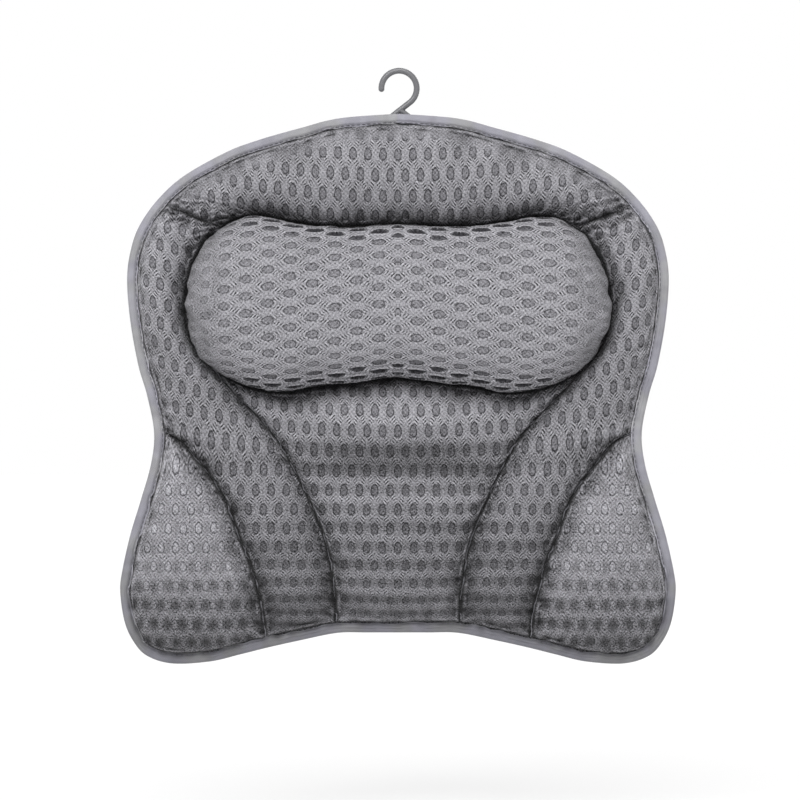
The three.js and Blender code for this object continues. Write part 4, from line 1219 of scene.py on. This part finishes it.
def quilted_cushion(name, each):
    openness, bands = knit_state(name, each)
    place = pattern_place(each["plan"], name.endswith("wing"))
    edge = edge_distance(name, each)
    front = front_depths(name, each, openness, bands, place)
    back_relief = 0.6 * knit_relief(place, np.abs(openness)) * smoothstep(0, 4, edge)
    back = back_seam_depth - each["back"] - back_relief
    # Painted shade, darker near the seams on the back
    back_painted_seam_shade = 0.3 + 0.4 * smoothstep(0.5, 4, edge) + 0.2 * smoothstep(2, 12, edge)
    points, faces = pad_mesh(each["plan"], front, back)
    made = new_piece(
        name, points, air_mesh, "pillow", [PAD_OF[name], "front_cover", "back_cover"],
        weave=np.stack([weave_of(place, openness)] * 2),
        tone=np.stack([tone_of(name, each, bands, place), back_painted_seam_shade]), faces=faces,
    )


for panel_name, panel_net in PANELS.items():
    quilted_cushion(panel_name, panel_net)


# Neck roll

# The roll's cloth lies this far inside its outline, which its knit then fills
ROLL_DRAWN_IN = 1.4
ROLL_LEVELS = 96
ROLL_STEPS = {"top": 190, "end": 118, "bottom": 190}
spine_half = roll_half_length - roll_end_radius
roll_middle_level = roll_top_level - roll_height / 2


def roll_outline():
    """The roll's outline, clockwise from the top middle, with each point's share along the spine."""
    rails = stretches(roll_places, ROLL_STEPS)
    half = np.concatenate([rails["top"], rails["end"][1:], rails["bottom"][1:]])
    top, end = ROLL_STEPS["top"], ROLL_STEPS["end"]
    share = np.concatenate([np.arange(top) / top, np.ones(end + 1), np.arange(top - 1, -1, -1) / top])
    loop = np.concatenate([half, (half[1:-1] * MIRROR)[::-1]])
    return loop, np.concatenate([share, -share[1:-1][::-1]])


def roll_form(loop, shares):
    """The smooth roll: an undercut arc from the seam to the spine at each point of the outline."""
    spine = np.stack([spine_half * shares, np.full(len(shares), roll_middle_level)], 1)
    out = loop - spine
    reach = np.linalg.norm(out, axis=1)
    out /= reach[:, None]
    reach = reach - ROLL_DRAWN_IN
    waist_share = np.cos(np.pi / 2 * np.minimum(1, np.abs(shares))) ** 2
    crown = roll_lobe_crown + (roll_waist_crown - roll_lobe_crown) * waist_share
    under = math.sin(roll_undercut)
    equator = crown * under / (1 + under)
    rise = crown - equator
    start = -np.arcsin(equator / rise)
    t = np.linspace(0, 1, ROLL_LEVELS + 1)[:, None]
    angle = start + (np.pi / 2 - start) * t
    flat_out, height = reach * np.cos(angle), equator + rise * np.sin(angle)
    step = np.hypot(np.diff(flat_out, axis=0), np.diff(height, axis=0))
    from_top = np.concatenate([np.cumsum(step[::-1], axis=0)[::-1], np.zeros((1, len(shares)))])
    normal_out, normal_up = np.cos(angle) / reach, np.sin(angle) / rise
    size = np.hypot(normal_out, normal_up)
    return {
        "spine": spine, "out": out, "height": height, "from_top": from_top,
        "plan": spine + out * flat_out[..., None], "cloth": spine + out * from_top[..., None],
        "normal_out": normal_out / size, "normal_up": normal_up / size,
    }


FIRST_HOLES_FROM_MIDDLE, ROWS_DROP = 13.0, 0.072


def roll_pattern(cloth, to_seam):
    """Place on the roll's fabric, the same on both halves."""
    from_spine, from_middle = np.abs(cloth[..., 0]), cloth[..., 1] - roll_middle_level
    # The rows drop outwards, and near the seams the cloth has some to spare
    drop = ROWS_DROP * from_spine
    spare = 10.0 * smoothstep(0, -30, from_middle) - 4.0 * smoothstep(0, 30, from_middle)
    up = cloth[..., 1] + drop - smoothstep(52, 20, to_seam) * spare
    return np.stack([up * ROLL_STRETCH[0], (from_spine - FIRST_HOLES_FROM_MIDDLE) * ROLL_STRETCH[1]], 2)


def roll_shares(cloth, to_seam):
    """Where the roll's ends lie calm, where its knit is pulled tight over an edge, and its lower half."""
    from_spine = np.abs(cloth[..., 0])
    calm_end = smoothstep(spine_half + 4, spine_half + 28, from_spine)
    pulled = smoothstep(44, 27, to_seam) * (1 - smoothstep(spine_half - 10, spine_half + 22, from_spine))
    lower = smoothstep(10, -40, cloth[..., 1] - roll_middle_level)
    return calm_end, pulled, lower


def roll_folds(loop, form, place, to_seam, shares):
    """How far puckers, gathers, drawn-in rows and the ends' soft folds lift or sink the roll's cloth."""
    plan, (calm_end, pulled, lower) = form["plan"], shares
    run = run_length(closed(loop))
    along = run[:-1] * np.ones((ROLL_LEVELS + 1, 1))
    ends_meet = smoothstep(0, 25, np.minimum(along, run[-1] - along))
    pitch = run[-1] / round(run[-1] / 7.5)
    lift = stitch_puckers(to_seam, along, pitch, reach=8.0, height=1.5, seed=61) * ends_meet
    lift = lift + gathers(to_seam, along, period=22.0, reach=20.0, height=2.8, seed=62) * ends_meet
    lift = lift - (0.5 + 0.6 * lower) * pulled * np.cos(2 * np.pi * place[..., 0] / (HOLE_PITCH / 2))
    end_folds = noise_on(plan, size=9, seed=21) + 0.7 * noise_on(plan, size=4.5, seed=22)
    lift = lift + 1.5 * calm_end * end_folds * smoothstep(6, 26, to_seam)
    lift = lift * smoothstep(0, 14, form["from_top"])
    return lift + 0.9 * noise_on(plan, size=30, seed=9) * smoothstep(0, 20, to_seam)


def neck_roll():
    """A dog-bone roll under its cloth, undercut where it meets the front cover."""
    loop, along_spine = roll_outline()
    form = roll_form(loop, along_spine)
    to_seam = form["from_top"][:1] - form["from_top"]
    place = roll_pattern(form["cloth"], to_seam)
    calm_end, pulled, lower = shares = roll_shares(form["cloth"], to_seam)
    openness = 0.72 - 0.2 * calm_end + 1.28 * pulled
    relief = knit_relief(place, openness, HOLE_HALF * np.array([1, 0.84]))
    lift = roll_folds(loop, form, place, to_seam, shares) + relief * smoothstep(0, 4, to_seam)
    plan = form["plan"] + form["out"] * (lift * form["normal_out"])[..., None]
    depth = roll_seat + form["height"] + lift * form["normal_up"]
    depth[0] = roll_seat

    # Painted shade: the roll's cloth is painted darker near its seam, where it tucks under, darker still
    # low on its lower half, and in mottled patches at its calm ends
    tone = (0.42 + 0.56 * smoothstep(6, 40, to_seam)) * (1 - 0.16 * lower * smoothstep(52, 24, to_seam))
    tone = tone * (1 - 0.13 * calm_end * (1 + noise_on(plan, size=8, seed=23)))
    # A first row on the spine closes the roll's floor
    points = np.concatenate([at_depth(form["spine"], roll_seat)[None], at_depth(plan, depth)])
    weave = weave_of(place, openness)
    made = new_piece(
        "neck_roll", points, air_mesh, "pillow", ["neck_roll_cover", "neck_roll_filling"],
        weave=np.concatenate([weave[:1], weave]), tone=np.concatenate([tone[:1], tone]),
    )


neck_roll()


# Binding and its stitches

whole_outline = np.concatenate([half_outline, (half_outline[1:-1] * MIRROR)[::-1]])
outline_loop = even(closed(whole_outline), 1400)[:-1]
outline_in = inwards(unit(np.roll(outline_loop, -1, 0) - np.roll(outline_loop, 1, 0)))
outline_run = run_length(closed(outline_loop))


def tape_wave(size, seed):
    """A wobble along the tape that meets itself at the end of the loop."""
    turn = 2 * np.pi * outline_run[:-1] / outline_run[-1]
    radius = outline_run[-1] / (2 * np.pi)
    return soft_noise(radius * np.cos(turn), radius * np.sin(turn), size, seed)


# Shares of the way in from the outline to the tape's inner edge, and how far its face dips there
TAPE_FRONT = (
    (1.0, 0.9), (0.995, 0.0), (0.97, -0.4), (0.92, -0.35), (0.86, 0.1), (0.79, 0.0),
    (0.7, -0.6), (0.6, -0.8), (0.5, -0.7),
)
TAPE_BACK = ((0.45, -0.2), (0.7, -0.1), (0.93, 0.0), (0.985, 0.2), (1.0, 0.6))
# How far in the round of the fold reaches, and how far it stands out past the tape's faces
TAPE_FOLD, TAPE_FOLD_BULGE = 3.3, 0.3


def tape_section(inner):
    """The folded tape's section, as distances in from the outline and depths, with small puckers."""
    puff = 0.4 * tape_wave(5, 73) + 0.5 * tape_wave(15, 74)
    front, back = tape_front_depth, tape_back_depth
    middle, half = (front + back) / 2, (front - back) / 2
    section = [(share * inner, front - drop + puff * (1 - share) * 1.4) for share, drop in TAPE_FRONT]
    for angle in np.linspace(-np.pi / 2, np.pi / 2, 13)[::-1]:
        section.append((
            TAPE_FOLD - TAPE_FOLD * np.cos(angle), middle + (half + TAPE_FOLD_BULGE) * np.sin(angle),
        ))
    section += [(share * inner, back + drop) for share, drop in TAPE_BACK]
    for share, depth in (
        (1, back + tape_thickness), (0.5, back + tape_thickness),
        (0.5, front - tape_thickness), (1, front - tape_thickness),
    ):
        section.append((share * inner, depth))
    inset, depth = [np.stack([value + 0 * inner for value in values]) for values in zip(*section)]
    return inset, depth


def tape_painted_shade(inset, inner):
    """How light the tape is painted: painted shade towards the foot and over its inner part low down, and a
    painted highlight on its raised inner edge along the sides.
    """
    z = outline_loop[:, 1]
    # Painted shade, darker towards the foot
    light = np.interp(z, [-245, -222, -195, -150, -100, 130], [0.56, 0.58, 0.68, 0.86, 0.97, 1])
    light = light * (1 + 0.1 * tape_wave(11, 75) + 0.08 * tape_wave(4, 76))
    # Painted shade over the tape's inner part, more towards the foot
    foot = 0.14 + 0.3 * smoothstep(-150, -215, z)
    foot = foot * (1 + 0.7 * tape_wave(5, 77))
    tone = light * (1.0 - foot * smoothstep(0.35, 0.9, inset / tape_width))
    # Painted highlight along the raised inner edge at the sides
    at_side = smoothstep(0.55, 0.9, np.abs(outline_in[:, 0]))
    painted_edge_highlight = at_side * np.clip(0.7 + 1.0 * tape_wave(6, 78), 0, 1.2)
    return tone + 0.75 * painted_edge_highlight * ridge(inset / inner - 0.955, 0.06)


def edge_binding():
    """A tape folded round the edge, its section carried round the outline."""
    low = smoothstep(-70, -120, outline_loop[:, 1])
    inner = tape_width + (0.6 + 0.5 * low) * tape_wave(7, 71) + 0.4 * tape_wave(3.6, 72)
    inset, depth = tape_section(inner)
    across = run_length(np.stack([inset[:, 0], depth[:, 0]], 1))
    points = at_depth(outline_loop + outline_in * inset[..., None], depth)
    flat = np.stack(np.broadcast_arrays(outline_run[:-1], closed(across)[:, None]), 2)
    new_piece(
        "edge_binding_tape", closed(points), binding, "pillow", ["edge_binding"],
        weave=weave_of(flat), tone=closed(tape_painted_shade(inset, inner)),
    )


def seam_allowance():
    """The covers' cut edges, which lie flat on each other inside the binding and reach the cushions."""
    front, back = cover_seam_depth - 0.15, back_seam_depth + 0.3
    outer, inner = 1.6, tape_width + 2.6
    section = [(outer, front), (inner, front), (inner, back), (outer, back), (outer, front)]
    points = np.stack([at_depth(outline_loop + outline_in * inset, depth) for inset, depth in section])
    # Its cloth is painted at half tone, as painted shade inside the binding
    new_piece(
        "cover_seam_allowance", points, air_mesh, "pillow", ["front_cover", "back_cover"],
        weave=weave_of(points[..., ::2]), tone=np.full(points.shape[:2], 0.5),
    )


edge_binding()
seam_allowance()


def round_thread(side, up, angle):
    """Directions round a thread at each of its points."""
    return side[..., None, :] * np.cos(angle)[:, None] + up[..., None, :] * np.sin(angle)[:, None]


def stitch_row(name, path, facing, pitch, length, radius, rise):
    """Sewn stitches along a path: short thread arcs whose ends dip into the cloth."""
    run = run_length(path)
    count = int(run[-1] / pitch)
    centres = (np.arange(count) + 0.5) * run[-1] / count
    rings, sides = 7, 6
    t = np.linspace(-0.5, 0.5, rings)
    at = centres[:, None] + t * length
    place = np.stack([np.interp(at, run, path[:, k]) for k in range(3)], 2)
    out = np.array([0.0, facing, 0.0]) + 0 * place
    place = place + out * (rise * (1 - (2 * t) ** 2) - 0.35 * rise)[:, None]
    along = unit(np.gradient(place, axis=1))
    side = np.cross(along, out)
    side /= np.maximum(np.linalg.norm(side, axis=2), 1e-9)[..., None]
    thick = radius * np.sqrt(np.maximum(0.02, 1 - (2 * t) ** 6))
    angle = 2 * np.pi * np.arange(sides) / sides
    points = place[:, :, None] + round_thread(side, np.cross(side, along), angle) * thick[:, None, None]
    cap = np.array([[0, 1, 2, 3], [0, 3, 4, 5]])
    one = np.concatenate([grid_faces(rings, sides, closed=True), cap[:, ::-1], cap + (rings - 1) * sides])
    faces = (one + (np.arange(count) * rings * sides)[:, None, None]).reshape(-1, 4)
    flat = np.stack(np.broadcast_arrays(at[:, :, None], angle * radius), 3)
    new_piece(name, points, thread, "pillow", weave=weave_of(flat), faces=faces)


def seam_cord(name, plan):
    """The lockstitch of a quilting seam, two threads wound round each other in the bottom of the groove."""
    path = even(at_depth(plan, cover_seam_depth + 0.3), 520)
    run = run_length(path)
    front = np.array([0.0, 1.0, 0.0]) + 0 * path
    side = np.cross(unit(np.gradient(path, axis=0)), front)
    path = path + side * (0.9 * noise_along(run, size=4.5, seed=82))[:, None]
    path[:, 1] += 1.7 * noise_along(run, size=5, seed=81)
    count, sides = len(path), 8
    turn_length, wound_radius, radius = 5.2, 0.22, 0.26
    angle = 2 * np.pi * np.arange(sides) / sides
    cap = np.array([[0, 1, 2, 3], [0, 3, 4, 7], [4, 5, 6, 7]])
    strands, faces = [], []
    for k, turn in enumerate((0, np.pi)):
        phase = 2 * np.pi * run / turn_length + turn
        middle = path + wound_radius * (side * np.cos(phase)[:, None] + front * np.sin(phase)[:, None])
        strands.append(middle[:, None] + radius * round_thread(side, front, angle))
        first = k * count * sides
        faces.append(grid_faces(count, sides, first, closed=True))
        faces += [first + end * sides + cap for end in (0, count - 1)]
    flat = np.stack(np.broadcast_arrays(run[:, None], angle), 2)
    new_piece(
        name, np.stack(strands), seam_thread, "pillow",
        weave=np.stack([weave_of(flat)] * 2), faces=np.concatenate(faces),
    )


FRONT, BACK = 1.0, -1.0
stitch_line = closed(outline_loop) + closed(outline_in) * (tape_width - 0.95)
for face_name, facing, surface, rise in (
    ("front", FRONT, tape_front_depth, 0.3), ("back", BACK, tape_back_depth, 0.35),
):
    stitch_row(
        f"binding_stitches_{face_name}", at_depth(stitch_line, surface + 0.1 * facing), facing,
        pitch=3.6, length=2.7, radius=0.28, rise=rise,
    )

for sign, side_name in ((1, "right"), (-1, "left")):
    for seam_name, seam in (("inner", inner_seam(400)), ("outer", outer_seam(400))):
        plan = seam * np.array([sign, 1])
        seam_cord(f"{side_name}_{seam_name}_seam_cord", plan)
        stitch_row(
            f"{side_name}_{seam_name}_seam_stitches_back", at_depth(plan, back_seam_depth - 0.6), BACK,
            pitch=3.8, length=2.9, radius=0.32, rise=0.5,
        )


# Suction cups, eyelets and tabs

def bend(before, corner, after, reach, steps=12):
    """A curve that cuts a corner, from one reach before it to one reach after it."""
    start, end = corner + unit(before - corner) * reach, corner + unit(after - corner) * reach
    s = np.linspace(0, 1, steps + 1)[:, None]
    return (1 - s) ** 2 * start + 2 * s * (1 - s) * corner + s**2 * end


def rounded(points, radius, steps):
    """A section whose inner corners are rounded, for one that starts and ends on the axis or closes."""
    points = np.asarray(points, float)
    made = [points[:1]]
    for before, corner, after in zip(points[:-2], points[1:-1], points[2:]):
        shortest = min(np.linalg.norm(before - corner), np.linalg.norm(after - corner))
        made.append(bend(before, corner, after, min(radius, 0.45 * shortest), steps))
    return np.concatenate([*made, points[-1:]])


def turned(section, segments):
    """Points of a round piece from half of its section, as (radius, depth)."""
    angle = 2 * np.pi * np.arange(segments) / segments
    radius, depth = section[:, :1], section[:, 1:] + 0 * angle
    return np.stack([radius * np.cos(angle), depth, radius * np.sin(angle)], 2)


cup_radius, shoulder_radius, neck_radius = cup_diameter / 2, cup_shoulder / 2, neck_diameter / 2
button_radius, eyelet_radius = button_diameter / 2, eyelet_diameter / 2
shoulder_depth = cup_depth - cup_shoulder_drop
button_start = cup_depth + neck_length
button_end = button_start + button_thickness
eyelet_start = cup_depth + running_gap
eyelet_end = eyelet_start + eyelet_thickness
eyelet_middle = (eyelet_start + eyelet_end) / 2
back_flange, front_flange = eyelet_start + eyelet_flange, eyelet_end - eyelet_flange
bore = neck_radius + running_gap
barrel = bore + eyelet_barrel
cup_section = rounded([
    (0, cup_hollow), (cup_radius / 2, cup_hollow * 0.8), (cup_radius - cup_rim_width, 0),
    (cup_radius, 0), (cup_radius, cup_lip),
    ((cup_radius + shoulder_radius) / 2, (shoulder_depth + cup_lip) / 2 + cup_lip),
    (shoulder_radius, shoulder_depth), (neck_radius, cup_depth), (neck_radius, button_start),
    (button_radius, button_start), (button_radius, button_start + button_thickness / 2),
    (neck_radius, button_end), (0, button_end),
], radius=1.6, steps=5)
eyelet_section = rounded([
    (barrel, eyelet_middle), (barrel, back_flange), (eyelet_radius, back_flange),
    (eyelet_radius, eyelet_start), (bore, eyelet_start), (bore, eyelet_end), (eyelet_radius, eyelet_end),
    (eyelet_radius, front_flange), (barrel, front_flange), (barrel, eyelet_middle),
], radius=0.35, steps=4)

CUP_PLACES = {"centre": (0, 0)}
for row, x, z in (
    ("middle", middle_cup_spread / 2, 0),
    ("top", top_cup_spread / 2, top_level - top_cup_below_top),
    ("wing", half_width - wing_cup_from_side, bottom_level + wing_cup_above_bottom),
):
    CUP_PLACES[f"{row}_right"], CUP_PLACES[f"{row}_left"] = (x, z), (-x, z)


def tab_middle_line(count):
    """The tab's middle line in x and depth: flat ends on the cover, and a bridge over the button."""
    middle = eyelet_start + eyelet_flange + sewn_gap + tab_thickness / 2
    end = back_depth - sewn_gap - tab_thickness / 2
    x = np.linspace(-tab_length / 2, tab_length / 2, count)
    rise = smoothstep(tab_bridge / 2 + tab_slope, tab_bridge / 2, np.abs(x))
    return x, end + (middle - end) * rise


def tab_net():
    """A woven strip with a round hole: rings round the hole that grow out to the strip's own outline."""
    segments, rings = 96, 26
    angle = 2 * np.pi * (np.arange(segments) + 0.5) / segments
    hole = barrel + sewn_gap
    direction = np.stack([np.cos(angle), np.sin(angle)], 1)
    half_size = np.array([tab_length / 2, tab_width / 2])
    to_edge = np.min(half_size / np.maximum(np.abs(direction), 1e-9), axis=1)
    share = np.linspace(0, 1, rings + 1)[:, None]
    plan = (hole + (to_edge - hole) * share)[..., None] * direction
    line_x, line_depth = tab_middle_line(400)
    depth = np.interp(plan[..., 0], line_x, line_depth)
    slope = np.interp(plan[..., 0], line_x, np.gradient(line_depth, line_x))
    edge_thin = 1 - 0.55 * smoothstep(0.96, 1.0, share)
    half = tab_thickness / 2 * np.sqrt(1 + slope**2) * edge_thin
    points = np.concatenate([at_depth(plan, depth + half), at_depth(plan, depth - half)[::-1]])
    return closed(points), weave_of(closed(np.concatenate([plan, plan[::-1]])))


BOX_FROM_END, BOX_FROM_SIDE, BOX_LENGTH = 3, 2, 6


def tab_stitches(name, place, sign):
    """A box of stitches with one diagonal, at one end of a tab."""
    outer, half = tab_length / 2 - BOX_FROM_END, tab_width / 2 - BOX_FROM_SIDE
    inner = outer - BOX_LENGTH
    corners = [(outer, -half), (outer, half), (inner, half), (inner, -half), (outer, -half), (inner, half)]
    plan = even(np.array(corners) * np.array([sign, 1]) + np.array(place), 200)
    depth = back_depth - sewn_gap - tab_thickness - 0.05
    stitch_row(
        name, at_depth(plan, depth), BACK, pitch=3.0, length=2.2, radius=0.25, rise=0.35,
    )


def cups_and_tabs():
    cup, ring = turned(cup_section, 72), turned(eyelet_section, 56)
    tab, tab_weave = tab_net()
    for name, (x, z) in CUP_PLACES.items():
        move = np.array([x, 0, z])
        new_piece(
            f"clear_cup_{name}", cup + move, vinyl, f"cup_{name}", [f"suction_cup_{name}"],
        )
        new_piece(
            f"eyelet_ring_{name}", ring + move, eyelet_plastic, "pillow",
            [f"cup_eyelet_{name}"],
        )
        new_piece(
            f"webbing_tab_{name}", tab + move, webbing, "pillow", [f"cup_tab_{name}"],
            weave=tab_weave,
        )
        for sign, end_name in ((1, "right"), (-1, "left")):
            tab_stitches(f"tab_stitches_{name}_{end_name}", (x, z), sign)


cups_and_tabs()


# Hanging hook and its loop

rod_radius = hook_rod / 2
ring_radius = hook_ring_diameter / 2 - rod_radius
leave_angle, tip_angle = math.radians(-52), math.radians(182)
bar_drop = hook_ring_above_top + hook_bar_below_top
slope = np.array([math.sin(leave_angle), -math.cos(leave_angle)])
leave = ring_radius * np.array([math.cos(leave_angle), math.sin(leave_angle)])
shank = (leave[1] + bar_drop) / -slope[1]
left_corner = leave + slope * shank
apex = leave + slope * (shank / 4 + hook_apex_drop)
right_corner = np.array([2 * apex[0] - left_corner[0], -bar_drop])
corner_reach = hook_corner_radius / math.tan(math.atan2(-slope[1], -slope[0]) / 2)
hook_centre = np.array([hook_ring_offset, top_level + hook_ring_above_top])
ROD_STEP = 0.5
# The eye's wire ends this share of its last side before the middle line of the stem
INSIDE_STEM = 0.02


def rod(path, sides=28):
    """A round rod along a path in the plane of the hook, with round ends."""
    path = even(path, int(run_length(path)[-1] / ROD_STEP))
    along = unit(np.gradient(path, axis=0))
    across = inwards(along)
    angle = 2 * np.pi * np.arange(sides) / sides
    flat = path[:, None] + (across * rod_radius)[:, None] * np.cos(angle)[:, None]
    caps = []
    for end, sign in ((0, -1), (-1, 1)):
        lean = np.linspace(0, np.pi / 2, 8)[1:, None]
        radius = rod_radius * np.cos(lean)
        centre = path[end] + sign * along[end] * rod_radius * np.sin(lean)
        cap = centre[:, None] + across[end] * (radius * np.cos(angle))[..., None]
        caps.append(at_depth(cap, radius * np.sin(angle)))
    return np.concatenate([caps[0][::-1], at_depth(flat, rod_radius * np.sin(angle)), caps[1]])


def hanging_hook():
    """An open ring, a slanting stem, and a triangular eye whose wire ends inside the stem."""
    angle = np.linspace(tip_angle, leave_angle, 90)
    path = np.concatenate([
        ring_radius * np.stack([np.cos(angle), np.sin(angle)], 1),
        bend(apex, left_corner, right_corner, corner_reach),
        bend(left_corner, right_corner, apex, corner_reach),
        [apex + INSIDE_STEM * (right_corner - apex)],
    ])
    new_piece(
        "grey_hanging_hook", rod(path) + at_depth(hook_centre, hook_depth), hook_plastic,
        "hook", ["hanging_hook"],
    )


hanging_hook()


def hook_loop():
    """Webbing folded round the eye's bar, its tail sewn flat on the back cover."""
    bar_level = -bar_drop + hook_centre[1]
    bar_middle = hook_ring_offset + (left_corner[0] + right_corner[0]) / 2
    width = right_corner[0] - left_corner[0] - 2 * (corner_reach + running_gap)
    bore_radius = rod_radius + sewn_gap
    outer = bore_radius + loop_thickness
    sewn_depth = back_depth - sewn_gap - loop_thickness - hook_depth
    top_level_inside = foot_rail("top", arch_columns)[0, 1]
    fold_level = top_level_inside + (roll_rail("top", END)[0, 1] - top_level_inside) / 4 - bar_level
    tail = np.array([
        (0, -bore_radius - loop_thickness / 2), (sewn_depth, fold_level),
        (sewn_depth, fold_level - loop_tail_length),
    ])
    near, far = tail + np.array([loop_thickness, 0]), tail - np.array([loop_thickness, 0])
    begin, end = [math.atan2(corner[1], corner[0]) for corner in (near[0], far[0])]
    turn = np.linspace(begin, end + 2 * math.pi, 40)
    round_it = outer * np.stack([np.cos(turn), np.sin(turn)], 1)
    outside = even(np.concatenate([near[:0:-1], round_it, far[1:]]), 150)
    toward = np.arctan2(outside[:, 1], outside[:, 0])
    inside = bore_radius * np.stack([np.cos(toward), np.sin(toward)], 1)
    across = np.linspace(-width / 2, width / 2, 15)
    outer_face = [np.insert(outside, 0, x, axis=1) for x in across]
    inner_face = [np.insert(inside, 0, x, axis=1) for x in across[::-1]]
    points = np.stack([*outer_face, *inner_face, outer_face[0]])
    points = points + np.array([bar_middle, hook_depth, bar_level])
    flat = np.stack(np.broadcast_arrays(points[..., 0], run_length(outside)), 2)
    new_piece(
        "woven_hook_loop", points, webbing, "pillow", ["hook_loop"], weave=weave_of(flat),
    )


hook_loop()


# Stage, light and camera

def seen_directly(tree):
    """1 where a ray comes from the camera, or from it by way of gloss or glass."""
    rays = add(tree, "LightPath").node.outputs
    seen = rays["Is Camera Ray"]
    for kind in ("Is Glossy Ray", "Is Transmission Ray"):
        seen = add(tree, "Math", (seen, rays[kind]), operation="MAXIMUM")
    return seen


def stage_material():
    """A plain pale floor that looks white, and keeps the shadow."""
    material, tree, shader = new_material(
        "pale_floor_matt", Roughness=1.0, Specular_IOR_Level=0.0, Emission_Color=(1, 1, 1, 1),
    )
    shown = seen_directly(tree)
    pale = add(tree, "Mix", (shown, linear("#f2f2f2"), linear("#9f9f9f")), **COLOURS)
    tree.links.new(pale, shader.inputs["Base Color"])
    glow = add(tree, "Math", (shown, 0.66), **TIMES)
    tree.links.new(glow, shader.inputs["Emission Strength"])
    return material


def in_scene(name, data):
    made = bpy.data.objects.new(name, data)
    bpy.context.scene.collection.objects.link(made)
    return made


FLOOR_BELOW = 110
FLOOR_REACH_METRES = 12.0


def floor():
    mesh = bpy.data.meshes.new("floor")
    size, level = FLOOR_REACH_METRES, (bottom_level - FLOOR_BELOW) * MM
    corners = [(-size, -size, level), (size, -size, level), (size, size, level), (-size, size, level)]
    mesh.from_pydata(corners, [], [(0, 1, 2, 3)])
    mesh.materials.append(stage_material())
    in_scene("floor", mesh)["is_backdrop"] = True


floor()


def soft_light(name, towards, strength, spread):
    """A wide soft light, as from a large diffuser far away, that shines the same on floor and pillow."""
    light = bpy.data.lights.new(name, "SUN")
    light.energy = strength
    light.angle = math.radians(spread)
    in_scene(name, light).rotation_euler = Vector(towards).to_track_quat("-Z", "Y").to_euler()


soft_light("front_diffuser", (0.12, 1.0, -0.85), strength=2.25, spread=50)
soft_light("side_softbox", (0.55, 1.0, -0.6), strength=0.3, spread=12)
soft_light("back_diffuser", (-0.3, -1.0, -0.6), strength=2.0, spread=70)


def world():
    """A white studio all round, brighter where it is seen than where it lights."""
    made = bpy.data.worlds.new("studio")
    bpy.context.scene.world = made
    made.use_nodes = True
    tree = made.node_tree
    strength = add(tree, "Math", (seen_directly(tree), 0.7, 0.3), **PLUS_SHARE)
    background = tree.nodes["Background"]
    background.inputs["Color"].default_value = (1, 1, 1, 1)
    tree.links.new(strength, background.inputs["Strength"])


world()

# The photo is 800 pixels wide, and its middle lies 286.5 pixels below the pillow's top
MM_PER_PIXEL, PHOTO_PIXELS, MIDDLE_BELOW_TOP = 0.6835, 800, 286.5
camera_distance, camera_aside, sensor_width = 2600, 1.4, 36
camera_data = bpy.data.cameras.new("camera")
camera = in_scene("camera", camera_data)
camera.location = (
    camera_aside * MM, -(camera_distance + cover_seam_depth) * MM,
    (top_level - MIDDLE_BELOW_TOP * MM_PER_PIXEL) * MM,
)
camera.rotation_euler = (math.pi / 2, 0, 0)
camera_data.sensor_width = sensor_width
camera_data.lens = sensor_width * camera_distance / (PHOTO_PIXELS * MM_PER_PIXEL)
bpy.context.scene.camera = camera
bpy.context.scene.view_settings.view_transform = "Standard"

boxes = {"cad": cad_box, "visual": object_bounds()}
{name: [[float(value) for value in corner] for corner in box] for name, box in boxes.items()}
